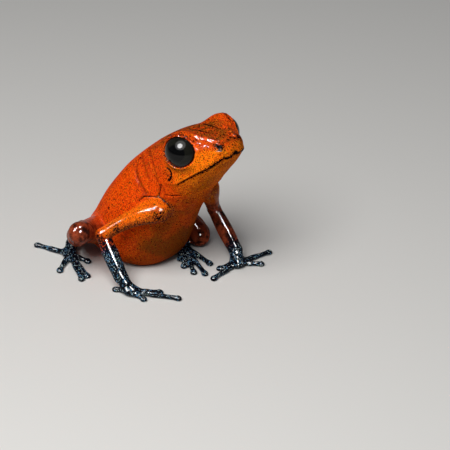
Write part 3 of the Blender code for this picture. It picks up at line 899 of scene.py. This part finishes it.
blue, brown_and_shade, hand = (rise_along(ranges) for ranges in (ALONG_BLUE, ALONG_BROWN_AND_SHADE, ALONG_HAND))
arm_orange = on_limb * is_arm * step_up(limb_along, *ARM_ORANGE)
print("share of the skin on the limbs", on_limb.mean().round(3))

# %% [markdown]
# Then the body. The crown and the tip of the snout are darker, partly by painted shade, and
# densely specked, and the cheeks and lips yellower. The chest, belly and chin are browner by
# painted shade, more of it low on the belly. Each is a product of soft steps: of the place along
# the head and above the eyes, of the height, and of the way the skin faces.

# %% Marks of the head and belly
# Each pair: where a soft step is 0 and where it is 1.
CROWN_FACING, CROWN_ALONG, CROWN_ABOVE = (0.45, 0.85), (-7.0, -1.5), (-1.2, 0.0)
SNOUT_ALONG, SNOUT_ABOVE = (2.9, 3.7), (-1.5, -0.5)
DOMES_ASIDE, DOMES_ALONG = (1.1, 1.9), (-1.6, -0.8)
BELLY_FACING, BELLY_HEIGHT, LOW_BELLY_HEIGHT = (0.1, 0.8), (10.5, 7.5), (5.5, 2.0)
CHIN_FACING, CHIN_ALONG = (0.05, 0.7), (-2.5, -0.5)
CHEEK_ALONG, CHEEK_ABOVE, CHEEK_FACING = (-2.5, 0.5), (0.3, -0.7), (0.75, 0.3)
BELLY_WAY = np.array([0.85, 0, -0.53])
SNOUT_CROWN, CHIN_UNDER, DOME_SIDES_LOSE = 0.6, 0.8, 0.75
BELLY_SHARE, LOW_BELLY_MORE = 0.92, 0.3

# Up is square to the pitched head, and down is straight down to the floor.
facing_out = normals_of(points, triangles)
facing_up, facing_down = facing_out @ head_up, -facing_out[:, 2]
from_eyes = points - (EYE_MID[0], 0, EYE_MID[1])
head_along, head_above = from_eyes @ head_forward, from_eyes @ head_up
height = points[:, 2]

# The crown's and the snout tip's darker brown is partly painted shade; their black specks are the
# frog's own.
crown = step_up(facing_up, *CROWN_FACING) * step_up(head_along, *CROWN_ALONG)
crown *= step_up(head_above, *CROWN_ABOVE) * (1 - on_limb)
snout_front = step_up(head_along, *SNOUT_ALONG) * step_up(head_above, *SNOUT_ABOVE)
crown = np.maximum(crown, SNOUT_CROWN * snout_front)
dome_sides = step_up(np.abs(points[:, 1]), *DOMES_ASIDE) * step_up(head_along, *DOMES_ALONG)
crown *= 1 - DOME_SIDES_LOSE * dome_sides
# Painted shade on the chest, belly and chin, deeper low on the belly.
underside_shade = step_up(facing_out @ BELLY_WAY, *BELLY_FACING) * step_up(height, *BELLY_HEIGHT)
underside_shade *= BELLY_SHARE + LOW_BELLY_MORE * step_up(height, *LOW_BELLY_HEIGHT)
chin = step_up(facing_down, *CHIN_FACING) * step_up(head_along, *CHIN_ALONG) * (1 - on_limb)
underside_shade = np.maximum(underside_shade, CHIN_UNDER * chin)
cheek = step_up(head_along, *CHEEK_ALONG) * step_up(head_above, *CHEEK_ABOVE)
cheek *= step_up(facing_up, *CHEEK_FACING)
for name, mark in (("crown", crown), ("underside_shade", underside_shade), ("cheek", cheek)):
    print(name, mark.mean().round(3))

# %% [markdown]
# Last the small things. The black lines are drawn by ink, a distance counted in line widths, so
# that one threshold draws lines of any width. Fine black specks with painted shade lie on the
# knob of the shoulder, in and out of the bend of the elbow, under the arm and in the eardrum,
# and painted shade darkens the neck folds and the edge of the shoulder lobe. The limbs, the
# snout ridge and the upper lids are wet and shine, and the nostrils and the knob don't.

# %% Marks of lines, smudges and shine
# The line round the shoulder lobe is a painted shadow.
LINE_WIDTHS = {"eardrum": 0.1, "folds": 0.042, "lobe": 0.03, "lids": 0.12, "dome": 0.07,
               "nostril": 0.34}
MOUTH_AT_X, MOUTH_WIDTHS = (1.8, 3.6, 4.5), (0.055, 0.12, 0.21)
DOT_WIDTH, MOST_INK = 0.1, 4
KNOB, KNOB_WIDTH = (0.4, -3.7, 7.0), 0.8
BEND_WIDTH, DRUM_BEFORE, DRUM_WIDTH = 0.5, 0.1, 0.4
UNDER_ARM_SPECKS_AND_SHADE, KNOB_SPECKS_AND_SHADE, BEND_SPECKS_AND_SHADE, DRUM_SPECKS_AND_SHADE = 0.7, 1.1, 1.3, 0.6
UNDER_ARM_FACING, LID_FACING = (-0.3, 0.5), (0.1, 0.6)
LID_SHINE, RIDGE_SHINE, PIT_WIDTH, CREASE_WIDTH = 0.3, 0.5, 0.3, 0.2
KNOB_DULL, PIT_DULL, FAR_THIGH_DULL = 0.8, 1 / 6, 0.65

mouth_width = np.interp(sided[:, 0], MOUTH_AT_X, MOUTH_WIDTHS)
ink = [away[name] / width for name, width in LINE_WIDTHS.items()]
ink = np.min([*ink, away["mouth"] / mouth_width, to_places(points, *dots) / DOT_WIDTH], axis=0)

# Fine black specks with painted shade on the shoulder knob, on the underside of the upper arm, in
# the bend of the elbow and in the eardrum.
on_knob = bell(to_places(points, KNOB), KNOB_WIDTH)
under_arm = step_up(facing_down, *UNDER_ARM_FACING) * arm_orange * ~is_far
in_bend = bell(to_places(points, *elbow_corners), BEND_WIDTH)
in_drum = bell(away["drum"] + DRUM_BEFORE, DRUM_WIDTH)
specks_and_shade = np.max([UNDER_ARM_SPECKS_AND_SHADE * under_arm, KNOB_SPECKS_AND_SHADE * on_knob, BEND_SPECKS_AND_SHADE * in_bend,
                 DRUM_SPECKS_AND_SHADE * in_drum], axis=0)

upper_lid = bell(away["lids"], LID_SHINE) * step_up(facing_up, *LID_FACING)
in_nostril = bell(away["nostril"], PIT_WIDTH)
gloss = np.max([on_limb, bell(away["ridge"], RIDGE_SHINE), upper_lid], axis=0)
gloss = gloss * (1 - np.maximum(in_nostril, KNOB_DULL * on_knob)) - in_nostril * PIT_DULL
gloss *= 1 - FAR_THIGH_DULL * is_far * brown_and_shade * ~is_arm
# Painted shade in the neck folds and along the edge of the shoulder lobe.
crease_shade = bell(np.minimum(away["neck"], away["lobe"]), CREASE_WIDTH)

marks = {"specks_and_shade": specks_and_shade, "arm": arm_orange, "hand": hand, "blue": blue, "brown_and_shade": brown_and_shade,
         "crown": crown, "underside_shade": underside_shade, "cheek": cheek, "gloss": gloss, "crease_shade": crease_shade,
         "ink": np.minimum(ink, MOST_INK)}
print({name: round(float(value.mean()), 3) for name, value in marks.items()})

# %% [markdown]
# The skin becomes an object that takes the place of every solid but the eyeballs. It rides on
# the one body of the frame, and its marks go into the mesh as attributes, one number a point.

# %% Skin object


def mesh_piece(name, places, faces):
    """A smooth shaded object at the origin, with its place in its mesh."""
    data = bpy.data.meshes.new(name)
    data.from_pydata(places.tolist(), [], faces)
    data.shade_smooth()
    obj = bpy.data.objects.new(name, data)
    bpy.context.scene.collection.objects.link(obj)
    return obj


def note(obj, name, values):
    """Store one number for each point of a mesh."""
    attribute = obj.data.attributes.new(name, "FLOAT", "POINT")
    attribute.data.foreach_set("value", np.asarray(values, np.float32))


skin = mesh_piece("skin", to_frame(points), triangles.tolist())
for name, values in marks.items():
    note(skin, name, values)
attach(skin, "root")
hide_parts(*[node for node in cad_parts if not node.startswith("eye")])
low, high = points.min(axis=0) + shift, points.max(axis=0) + shift
print("skin from", low.round(2), "to", high.round(2))

# %% [markdown]
# The eyeball is a whole ball, though less than half of it shows, because its edge then meets the
# lid at a true angle. It could be an icosphere, but rings about the vertical give even rows.
# The distance from the middle of the opening is noted on it, for the pupil and the iris.

# %% Eyeballs
PUPIL_STRETCH = 1.12


def closed_ball(centre, radius, rings=48, sides=72):
    """A ball of rings, closed by a fan of triangles round a point at each pole, all facing out."""
    places, faces = rounded(centre, [radius] * 3, rings=rings, sides=sides)
    top, bottom = len(places), len(places) + 1
    places = np.vstack([places, centre + (0, 0, radius), centre - (0, 0, radius)])
    ring = np.arange(sides)
    after = np.roll(ring, -1)
    last = (rings - 1) * sides
    faces = faces[:, ::-1].tolist()
    faces += [[top, a, b] for a, b in zip(ring.tolist(), after.tolist())]
    faces += [[bottom, last + b, last + a] for a, b in zip(ring.tolist(), after.tolist())]
    return places, faces


eyeballs = []
for name, (centre, facing) in eyes.items():
    ball_points, ball_faces = closed_ball(centre, EYE_RADIUS)
    eye = mesh_piece("eyeball_" + name, to_frame(ball_points), ball_faces)
    forward, up, out = eye_axes(facing)
    turned = ball_points - centre
    from_middle = np.hypot(turned @ forward / PUPIL_STRETCH, turned @ up) / EYE_RADIUS
    note(eye, "from_middle", from_middle + (turned @ out < 0))
    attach(eye, "root")
    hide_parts("eye_" + name)
    eyeballs.append(eye)
print("eyeballs of", len(ball_faces), "faces")

# %% [markdown]
# A finish is a graph of nodes, and could be wired up by hand in the shader editor. Here it is
# written as sums, which are easier to read: Value wraps one socket, so that + - and * between
# values add Math nodes.

# %% Values in a shader


class Value:
    """A number or colour inside a shader. Arithmetic on it adds Math nodes."""

    def __init__(self, finish, socket):
        self.finish, self.socket = finish, socket

    def __add__(self, other):
        """This plus the other."""
        return self.finish.math("ADD", self, other)

    def __sub__(self, other):
        """This minus the other."""
        return self.finish.math("SUBTRACT", self, other)

    def __rsub__(self, other):
        """The other minus this."""
        return self.finish.math("SUBTRACT", other, self)

    def __mul__(self, other):
        """This times the other."""
        return self.finish.math("MULTIPLY", self, other)

    __radd__, __rmul__ = __add__, __mul__


print("a value knows", [name for name in vars(Value) if name.endswith(("add__", "sub__", "mul__"))])

# %% [markdown]
# Every finish here is Blender's Principled shader with some of its sockets driven by nodes. Each
# method makes one node and hands back its output as a Value.

# %% Nodes of one finish


class Finish:
    """One Principled material."""

    def __init__(self, name, constants):
        self.material = bpy.data.materials.new(name)
        self.material.use_nodes = True
        self.tree = self.material.node_tree
        self.shader = self.tree.nodes["Principled BSDF"]
        for socket, value in constants.items():
            self.shader.inputs[socket].default_value = value

    def add(self, kind, settings=None, sockets=None, output=0):
        """One node: its settings first, then values or links for its sockets."""
        node = self.tree.nodes.new(kind)
        for name, value in (settings or {}).items():
            setattr(node, name, value)
        for name, value in (sockets or {}).items():
            self.give(node.inputs[name], value)
        return Value(self, node.outputs[output])

    def give(self, socket, value):
        """Link a value to a socket, or set it."""
        if isinstance(value, Value):
            self.tree.links.new(value.socket, socket)
        else:
            socket.default_value = value

    def math(self, operation, first, second):
        """A sum, product or the like of two numbers."""
        return self.add("ShaderNodeMath", {"operation": operation}, {0: first, 1: second})

    def rise(self, value, low, high):
        """0 at low, 1 at high, held beyond them, smooth between; high may be the smaller."""
        return self.add("ShaderNodeMapRange", {"interpolation_type": "SMOOTHSTEP"},
                        {"Value": value, "From Min": low, "From Max": high})

    def mix(self, first, second, share):
        """A colour between two colours."""
        return self.add("ShaderNodeMix", {"data_type": "RGBA"}, {0: share, 6: first, 7: second}, 2)

    def mark(self, name):
        """One of the numbers stored on the mesh."""
        return self.add("ShaderNodeAttribute", {"attribute_name": name}, output="Fac")

    def noise(self, place, scale, detail=2.0, roughness=0.5):
        """A cloudy pattern from 0 to 1, with so many clouds a millimetre."""
        return self.add("ShaderNodeTexNoise", {}, {"Vector": place, "Scale": scale,
                        "Detail": detail, "Roughness": roughness}, "Fac")

    def cells(self, place, scale):
        """The distance to the nearest of scattered points, so many a millimetre."""
        return self.add("ShaderNodeTexVoronoi", {}, {"Vector": place, "Scale": scale}, "Distance")

    def place_mm(self):
        """The place on the object in millimetres."""
        place = self.add("ShaderNodeTexCoord", output="Object")
        return self.add("ShaderNodeVectorMath", {"operation": "SCALE"},
                        {0: place, "Scale": 1 / MM})

    def paint(self, socket, value):
        """Let a value drive one socket of the shader."""
        self.give(self.shader.inputs[socket], value)

    def bump(self, height, depth_mm):
        """Tilt the surface by a height of 0 to 1 that stands for a depth."""
        self.paint("Normal", self.add("ShaderNodeBump", {}, {"Height": height * depth_mm,
                   "Distance": MM, "Strength": 1.0}))

    def put_on(self, *pieces):
        """Make this the only material of some pieces."""
        for piece in pieces:
            piece.data.materials.clear()
            piece.data.materials.append(self.material)


def rgb(red, green, blue):
    """A screen colour of 0 to 255 as the linear numbers that a shader takes."""
    share = np.array([red, green, blue]) / 255
    linear = np.where(share <= 0.04045, share / 12.92, ((share + 0.055) / 1.055) ** 2.4)
    return (*linear.tolist(), 1.0)


print("mid grey is", round(rgb(128, 128, 128)[0], 3), "in a shader")

# %% [markdown]
# The frog's orange is never even: it has yellow grains on the cheek and black specks on the
# crown, and painted shade darkens the crown and browns the belly and the folds. One flat colour
# would look like plastic, and a photo of skin would carry its own light. So one orange is turned
# towards each other colour in turn, by a share that a mark of the mesh and a cloudy noise give
# together.

# %% Paints of the body
RED_ORANGE = rgb(234, 74, 8)
DEEP_RED = rgb(168, 36, 12)
CHEEK_ORANGE = rgb(250, 120, 12)
GRAIN_YELLOW = rgb(246, 150, 20)
GRAIN_DARK = rgb(120, 26, 10)
# Browns of painted shade: under the body, in the creases and on the crown.
UNDERSIDE_SHADE_BROWN = rgb(118, 58, 14)
CREASE_SHADE_BROWN = rgb(110, 30, 8)
CROWN_SHADE_BROWN = rgb(112, 66, 14)
BLACK = rgb(8, 6, 6)
print("the orange in a shader", [round(share, 3) for share in RED_ORANGE[:3]])

# %% [markdown]
# Every step of the recipe lays one paint over the last. A pair of numbers says where in a noise
# the paint begins and where it is full, and a share says how much of it there is at most.

# %% Colours of the body
# Where a colour begins and where it is full, on a noise of 0 to 1 or on a sum of two.
DEEP_CLOUDS, CHEEK_CLOUDS = (0.45, 0.75), (0.2, 0.5)
BELLY_CLOUDS, CROWN_CLOUDS = (0.62, 0.42), (0.3, 0.6)
DARK_GRAINS, YELLOW_GRAINS, SPECK_EDGE = (0.5, 0.3), (0.52, 0.66), (1.14, 1.22)
# How much of a colour goes over the one below it.
DEEP_SHARE, CREASE_SHARE, CROWN_SHARE, DARK_SHARE = 0.5, 0.6, 0.85, 0.8
ARM_YELLOW, SPECKS_AND_SHADE_BROWN = 0.6, 0.5
BELLY_SHARE_LEAST, BELLY_SHARE_MORE = 0.62, 0.33
YELLOW_SHARE, YELLOW_ON_CHEEK, LESS_ON_BELLY = 0.4, 0.4, 0.25
# How densely the black specks lie.
SPECKS, SPECKS_ON_CROWN, SPECKS_IN_SHADE_PATCHES, SPECK_CROWDING = 0.1, 0.8, 1.6, 0.12


def body_colour(wet, broad, patchy, grain, speck):
    """Orange mixed with deep red, cheek orange, browns of painted shade, dark and yellow grains,
    then specks.
    """
    crown, underside_shade, specks_and_shade = wet.mark("crown"), wet.mark("underside_shade"), wet.mark("specks_and_shade")
    on_cheek = wet.mark("cheek") * wet.rise(patchy, *CHEEK_CLOUDS)
    yellower = wet.math("MAXIMUM", on_cheek, wet.mark("arm") * ARM_YELLOW)
    belly_share = BELLY_SHARE_LEAST + wet.rise(broad, *BELLY_CLOUDS) * BELLY_SHARE_MORE
    # Painted shade browns the underside and the patches of specks.
    browner = wet.math("MAXIMUM", underside_shade * belly_share, specks_and_shade * SPECKS_AND_SHADE_BROWN)
    colour = wet.mix(RED_ORANGE, DEEP_RED, wet.rise(broad, *DEEP_CLOUDS) * DEEP_SHARE)
    colour = wet.mix(colour, CHEEK_ORANGE, yellower)
    colour = wet.mix(colour, UNDERSIDE_SHADE_BROWN, browner)
    colour = wet.mix(colour, CREASE_SHADE_BROWN, wet.mark("crease_shade") * CREASE_SHARE)
    colour = wet.mix(colour, CROWN_SHADE_BROWN, crown * wet.rise(patchy, *CROWN_CLOUDS) * CROWN_SHARE)
    colour = wet.mix(colour, GRAIN_DARK, wet.rise(grain, *DARK_GRAINS) * DARK_SHARE)
    yellow_share = YELLOW_SHARE + yellower * YELLOW_ON_CHEEK - underside_shade * LESS_ON_BELLY
    colour = wet.mix(colour, GRAIN_YELLOW, wet.rise(grain, *YELLOW_GRAINS) * yellow_share)
    dense = crown * SPECKS_ON_CROWN + specks_and_shade * SPECKS_IN_SHADE_PATCHES + SPECKS
    return wet.mix(colour, BLACK, wet.rise(speck + grain + dense * SPECK_CROWDING, *SPECK_EDGE))


print("specks begin where two noises and the density add up to", SPECK_EDGE[0])

# %% [markdown]
# From the elbows and heels down the skin turns to a black net over pale blue, and the hind legs
# are red-brown above it; the same brown on the far upper arm is painted shade. The net could be
# painted spot by spot, but scattered cells give it at once: near the middle of a cell the pale
# blue shows, and the black between the cells joins up.

# %% Colours of the limbs
# Browns of the hind legs, also laid on the far upper arm as painted shade.
LEG_AND_ARM_SHADE_BROWN = rgb(142, 62, 36)
LEG_AND_ARM_SHADE_DARK = rgb(44, 19, 14)
BLUE_BLACK = rgb(8, 11, 20)
PALE_BLUE = rgb(92, 140, 176)
PALE_GREY = rgb(170, 186, 186)
# Clouds to a millimetre and how finely they are divided, and cells to a millimetre.
TINT, WANDER, FLECKS = (3.0, 1.0), (5.0, 1.0), 7.5
LEG_CLOUDS, TINT_CLOUDS, PALE_FROM = (0.4, 0.65), (0.42, 0.55), (0.45, 0.7)
FLECK_EDGE, NET_EDGE = (0.9, 0.72), (0.04, 0.2)
RAGGED, SPARSE_ON_HAND, DENSE_ABOVE = 0.5, 0.02, 0.12


def limb_colour(wet, body_paint, place, patchy):
    """The body's colour mixed with leg brown, which on the far upper arm is painted shade, then
    with a net of black over pale flecks. A fleck shows where a cell's distance and a noise
    together are small."""
    blue, brown_and_shade, hand = wet.mark("blue"), wet.mark("brown_and_shade"), wet.mark("hand")
    leg_and_arm_shade = wet.mix(LEG_AND_ARM_SHADE_BROWN, LEG_AND_ARM_SHADE_DARK, wet.rise(patchy, *LEG_CLOUDS))
    above = wet.mix(body_paint, leg_and_arm_shade, brown_and_shade)
    pale = wet.mix(PALE_GREY, PALE_BLUE, wet.rise(wet.noise(place, *TINT), *TINT_CLOUDS))
    flecks = wet.mix(above, pale, wet.rise(blue, *PALE_FROM))
    wander = wet.noise(place, *WANDER)
    sparse = patchy * RAGGED + wander * RAGGED + hand * SPARSE_ON_HAND - (1 - blue) * DENSE_ABOVE
    net = wet.mix(BLUE_BLACK, flecks, wet.rise(wet.cells(place, FLECKS) + sparse, *FLECK_EDGE))
    return wet.mix(above, net, wet.rise(blue + (patchy - 0.5) * RAGGED, *NET_EDGE))


print("the pale blue in a shader", [round(share, 3) for share in PALE_BLUE[:3]])

# %% [markdown]
# The skin is finely grained and matt on the back and belly, and wet on the limbs, the snout ridge
# and the upper lids. A thin clear coat over a rough ground does both: its weight follows the
# gloss mark, and the same mark lowers the grain, so that a highlight there is an unbroken streak.

# %% Skin finish
# Clouds to a millimetre, how finely they are divided, and how rough they are.
BROAD, PATCHY = (0.5, 3.0), (1.6, 4.0, 0.6)
GRAIN, SPECK = (6.0, 2.0, 0.7), (8.0, 1.0)
GRANULES, GRANULE_SHARE = 4.5, 0.5
GRAIN_DEPTH, BLUE_DEPTH, GLOSS_DEPTH = 0.04, 0.05, 0.02
MATT_COAT, WET_COAT = 0.05, 0.3
GROUND, GROUND_MORE = 0.45, 0.2
LINE_RAGGED, LINE_EDGE = 4.6, (3.5, 3.0)
SKIN_OPTICS = {"Coat Roughness": 0.07, "Coat IOR": 1.27, "Specular IOR Level": 0.0,
               "Subsurface Weight": 0.05, "Subsurface Scale": 0.4 * MM,
               "Subsurface Radius": (1.0, 0.3, 0.12)}


def skin_finish():
    """Colour, black lines, clear coat and grain of the whole skin."""
    wet = Finish("wet_skin", SKIN_OPTICS)
    place = wet.place_mm()
    broad, patchy, grain, speck = (wet.noise(place, *clouds)
                                   for clouds in (BROAD, PATCHY, GRAIN, SPECK))
    colour = body_colour(wet, broad, patchy, grain, speck)
    colour = limb_colour(wet, colour, place, patchy)
    line = wet.rise(wet.mark("ink") + speck * LINE_RAGGED, *LINE_EDGE)
    wet.paint("Base Color", wet.mix(colour, BLACK, line))
    wet.paint("Roughness", GROUND + grain * GROUND_MORE)
    gloss = wet.mark("gloss")
    wet.paint("Coat Weight", MATT_COAT + gloss * WET_COAT)
    depth = GRAIN_DEPTH + wet.mark("blue") * BLUE_DEPTH - gloss * GLOSS_DEPTH
    wet.bump(wet.cells(place, GRANULES) * GRANULE_SHARE + grain * (1 - GRANULE_SHARE), depth)
    return wet


skin_look = skin_finish()
skin_look.put_on(skin)
print("nodes in the skin's finish", len(skin_look.tree.nodes))

# %% [markdown]
# The eye is a clear wet ball over an almost black iris with a blacker pupil. It could be a glass
# shell over a painted disc, but nearly all that shows on the real frog is the reflection, so one
# dark and very smooth finish is enough.

# %% Eye finish
IRIS = rgb(22, 22, 17)
PUPIL = rgb(4, 4, 5)
PUPIL_EDGE, IRIS_EDGE = (0.42, 0.5), (0.86, 0.72)
STREAKS, IRIS_LEAST = (5.0, 3.0), 0.5
EYE_OPTICS = {"Roughness": 0.05, "Specular IOR Level": 0.2}


def eye_finish():
    """A black pupil, a dark brown iris with a darker rim, and a mirror-smooth surface."""
    wet = Finish("wet_eye", EYE_OPTICS)
    streak = wet.noise(wet.place_mm(), *STREAKS)
    middle = wet.mark("from_middle")
    iris = wet.rise(middle, *PUPIL_EDGE) * wet.rise(middle, *IRIS_EDGE)
    wet.paint("Base Color", wet.mix(PUPIL, IRIS, iris * (IRIS_LEAST + streak)))
    return wet


eye_look = eye_finish()
eye_look.put_on(*eyeballs)
print("nodes in the eye's finish", len(eye_look.tree.nodes))

# %% [markdown]
# The frog stands on a plain pale floor in a weak pale light from all sides. The floor is one
# matt square four metres wide, so that its edge lies far from a frog of two centimetres.

# %% Floor and world
FLOOR_HALF = 2.0
FLOOR_PAINT = rgb(214, 212, 208)
WORLD_COLOUR, WORLD_STRENGTH = (0.9, 0.94, 1.0, 1), 0.12
floor = mesh_piece("floor", FLOOR_HALF * np.array([[-1, -1, 0], [1, -1, 0], [1, 1, 0], [-1, 1, 0]]),
                   [[0, 1, 2, 3]])
floor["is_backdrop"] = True
Finish("matt_floor", {"Base Color": FLOOR_PAINT, "Roughness": 0.75}).put_on(floor)
world = bpy.data.worlds.new("studio")
world.use_nodes = True
background = world.node_tree.nodes["Background"]
background.inputs["Color"].default_value = WORLD_COLOUR
background.inputs["Strength"].default_value = WORLD_STRENGTH
bpy.context.scene.world = world
print("floor of", 2 * FLOOR_HALF, "m")

# %% [markdown]
# One soft key lamp, above and to the right of the frog, gives the shading. Wet skin also mirrors
# its surroundings, in streaks along the arms and the snout. Lamps bright enough for such streaks
# would wash out the orange if they lit it too. So each further lamp only shows as a reflection,
# on the skin or on the eyeballs, and hangs where the wet surface throws it to the camera.

# %% Lights
MIDDLE = np.array([-1.0, -1.0, 8.0])
LIGHT_AWAY, HALO_AWAY = 160, 175
EYE_WAY = (0.15, -0.55, 0.82)
HALO_WAY = (0.15, -0.55, 0.97)
# Name, way from the frog, width in mm, watts, what mirrors it, and how far away in mm.
LIGHTS = [
    ("key", (0.2, -0.55, 0.81), 110, 0.3, None, LIGHT_AWAY),
    ("eye_gleam", EYE_WAY, 84, 0.7, eyeballs, LIGHT_AWAY),
    ("eye_halo", HALO_WAY, 230, 0.5, eyeballs, HALO_AWAY),
    ("left_gleam", (-0.3, -0.72, 0.63), 70, 2.4, [skin], LIGHT_AWAY),
    ("top_gleam", (-0.14, -0.39, 0.91), 40, 1.0, [skin], LIGHT_AWAY),
    ("over_gleam", (0.1, 0.1, 0.99), 44, 1.2, [skin], LIGHT_AWAY),
    ("front_gleam", (0.7, -0.36, 0.61), 70, 3.8, [skin], LIGHT_AWAY),
]


def round_light(name, way, width, power, mirrored, distance):
    """A round soft lamp at a distance from the middle of the frog. With a list of objects to be
    mirrored by, it doesn't shine and only shows as a highlight on those."""
    data = bpy.data.lights.new(name, "AREA")
    data.shape = "DISK"
    data.size, data.energy = width * MM, power
    obj = bpy.data.objects.new(name, data)
    bpy.context.scene.collection.objects.link(obj)
    look_from(obj, to_frame(MIDDLE + distance * np.array(way)), to_frame(MIDDLE))
    obj.visible_diffuse = mirrored is None
    obj.visible_glossy = mirrored is not None
    if mirrored:
        receivers = bpy.data.collections.new(name + "_receivers")
        for piece in mirrored:
            receivers.objects.link(piece)
        obj.light_linking.receiver_collection = receivers


for light in LIGHTS:
    round_light(*light)
bpy.context.scene.view_settings.view_transform = "Standard"
print("lights", [light[0] for light in LIGHTS])

# %% [markdown]
# The box of the dressed frog is printed in millimetres, as the box of the solids was at the start.

# %% Size of the dressed frog
dressed_low, dressed_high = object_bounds()
print("dressed in mm", [round(v / MM, 2) for v in dressed_high - dressed_low])
